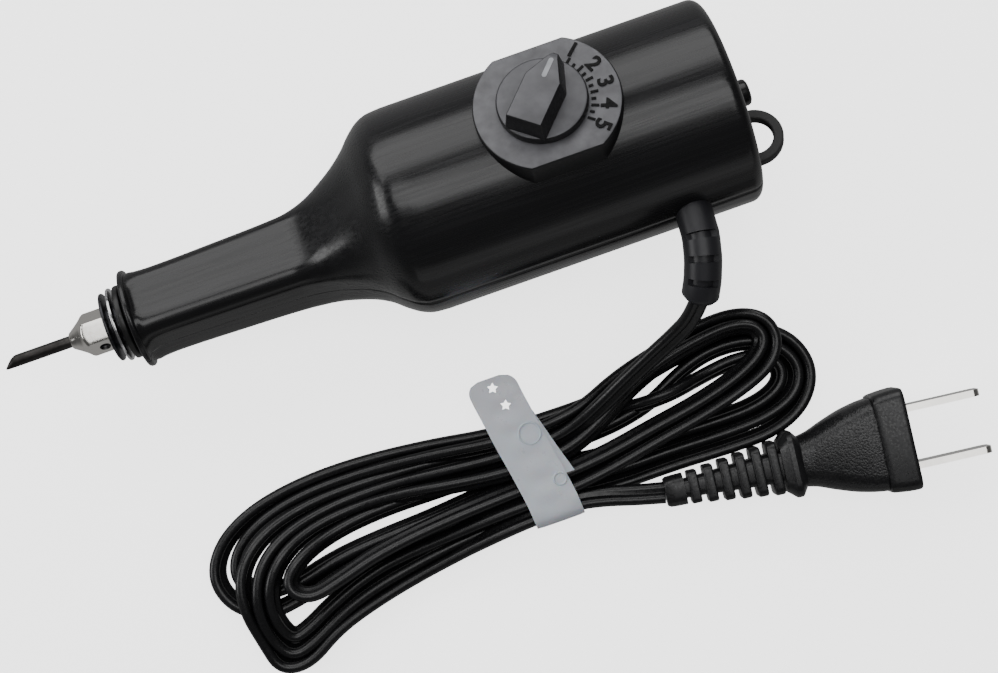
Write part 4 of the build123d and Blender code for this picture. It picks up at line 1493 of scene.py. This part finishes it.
@dataclass
class Nose:
    """Tip, tip holder and heat discs at the front of the pen."""

    flats: float = 8.3
    screw_x: float = -71.6
    screw_radius: float = 1.2

    def matrix(self) -> Matrix:
        """From the grip's own middle line to row metres."""
        return PEN.matrix() @ Matrix.Translation((0, 0, -PEN.nose_drop))

    def build(self) -> list:
        """Makes every nose piece in turn."""
        return [self._tip(), self._holder(), *self._discs()]

    def _tip(self) -> bpy.types.Object:
        """A round rod with an oblique wedge point.

        Returns:
            The rod.
        """
        spots = (
            (-58.0, 1.3, 1.3, 0, 0), (-75, 1.3, 1.3, 0, 0), (-90.6, 1.3, 1.3, 0, 0),
            (-91.2, 1.26, 1.25, -0.04, 0), (-92.0, 1.03, 1.0, -0.27, -0.05), (-92.8, 0.66, 0.6, -0.64, -0.12),
            (-93.35, 0.33, 0.25, -0.93, -0.18), (-93.6, 0.12, 0.08, -1.0, -0.2),
        )
        rings = [[(x, y + ry * math.cos(a), z + rz * math.sin(a)) for a in turns_of(40)]
                 for x, ry, rz, y, z in spots]
        tip = ringed("burning_rod", np.array(rings), self.matrix(), False, 40)
        Finishes.TIP.value.on(tip)
        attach(tip, PEN_BODY)
        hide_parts("burning_tip")
        return tip

    def _holder(self) -> bpy.types.Object:
        """The hexagonal holder, coned at the front, with its screw hole.

        Returns:
            The holder.
        """
        outline = (
            (-78.5, 1.62), (-78.4, 1.78), (-77.2, 2.6), (-75.9, 3.55), (-75.6, 3.8), (-75.3, 4.1), (-75.0, 4.4),
            (-74.7, 4.65), (-74.3, 4.9), (-71.0, 4.9), (-70.3, 4.85), (-69.95, 4.7), (-69.8, 4.45),
        )
        xs = np.array([p[0] for p in outline])
        fine = np.unique(np.concatenate((np.linspace(xs[0], xs[-1], 40), xs)))
        radii = np.interp(fine, xs, [p[1] for p in outline])
        turns = turns_of(120)
        roll = math.radians(PEN.roll)
        from_flat = (turns - math.pi / 2 - roll + math.pi / 6) % (math.pi / 3) - math.pi / 6
        hexagon = self.flats / 2 / np.cos(from_flat)
        rings = []
        for x, radius in zip(fine, radii):
            soft = -np.log(np.exp(-10 * hexagon) + np.exp(-10 * radius)) / 10
            rings.append([(x, r * math.cos(a), r * math.sin(a)) for r, a in zip(soft, turns)])
        for x, radius in ((-69.8, 3.5), (-69.8, 1.34), (-78.45, 1.34)):
            rings.append([(x, radius * math.cos(a), radius * math.sin(a)) for a in turns])
        holder = ringed("tip_collet", np.array(rings), self.matrix(), True, 35)
        spin = Matrix.Rotation(math.radians(60 + PEN.roll), 4, "X")
        hole, reach = self.screw_x, self.screw_radius
        tool_rings = [[(hole + reach * math.cos(a), reach * math.sin(a), z) for a in turns_of(32)]
                      for z in (2.0, 6.0)]
        carve(holder, ringed("drill", np.array(tool_rings), self.matrix() @ spin, False))
        clean_mesh(holder.data, 35)
        Finishes.NICKEL.value.on(holder)
        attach(holder, PEN_BODY)
        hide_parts("tip_holder")
        return holder

    def _discs(self) -> list:
        """Three thin discs with round rims, one behind another.

        Returns:
            The discs, front to rear.
        """
        made = []
        for node, x0, x1, radius, finish, slot in (
            ("front_baffle", -69.6, -68.9, 7.6, Finishes.DARK_STEEL, "dark_steel"),
            ("middle_baffle", -67.8, -67.1, 8.15, Finishes.BRIGHT_STEEL, "chrome"),
            ("rear_baffle", -66.3, -65.0, 8.15, Finishes.DISC, "black_disc"),
        ):
            lip = min((x1 - x0) / 2, 0.4) * 0.8
            edge = lip * 0.3
            profile = [(x0, 4.0), (x0, radius - lip), (x0 + edge, radius - edge), (x0 + lip, radius),
                       (x1 - lip, radius), (x1 - edge, radius - edge), (x1, radius - lip), (x1, 4.0)]
            disc = lathe(node + "_disc", profile, self.matrix(), count=96, sharp=40)
            finish.value.on(disc)
            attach(disc, PEN_BODY)
            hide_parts(node)
            made.append(disc)
        return made


@dataclass
class InnerParts:
    """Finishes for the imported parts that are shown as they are."""

    nodes_of: dict = field(default_factory=lambda: {
        Finishes.NYLON: ("hanging_loop", "pot_wiper", "triac", "cord_clamp"),
        Finishes.DARK_STEEL: ("grub_screw", "baffle_spacers", "heater_clip", "housing_screws"),
        Finishes.BRIGHT_STEEL: (
            "heater_tube", "pot_nut", "pot_washer", "pot_shaft", "pot_terminals", "knob_spring_clip",
            "board_screws", "cord_clamp_screw",
        ),
        Finishes.CERAMIC: ("heater_core", "heater_mount"),
        Finishes.WINDING: ("heater_winding",),
        Finishes.MICA: ("mica_sleeve",),
        Finishes.SLEEVE: ("heater_leads",),
        Finishes.POT_CASE: ("pot_body",),
        Finishes.BRASS: ("pot_bushing",),
        Finishes.WIRE: ("pot_leads",),
        Finishes.BOARD: ("circuit_board",),
        Finishes.FILM: ("diac", "timing_capacitor"),
        Finishes.RESISTOR: ("resistors",),
        Finishes.CORD: ("cord_inner",),
    })

    def dress(self) -> None:
        """Gives each part its finish."""
        for finish, nodes in self.nodes_of.items():
            for node in nodes:
                finish.value.on(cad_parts[node])


def main() -> None:
    """Builds the scene in order and reports each piece."""
    Studio().build()
    cord = TwinCord()
    cord_piece = cord.build()
    bushing = Bushing().build()
    tie = CordTie().build()
    plug, blades = Plug().build()
    pieces = [cord_piece, bushing, tie, plug]
    pieces += Housing().build()
    pieces.append(Knob().build())
    pieces += Nose().build()
    InnerParts().dress()
    for piece in pieces:
        LOG.info("%s: %d faces", piece.name, len(piece.data.polygons))
    LOG.info("cord length %.3f m", cord.length)


if __name__ == "__main__":
    main()
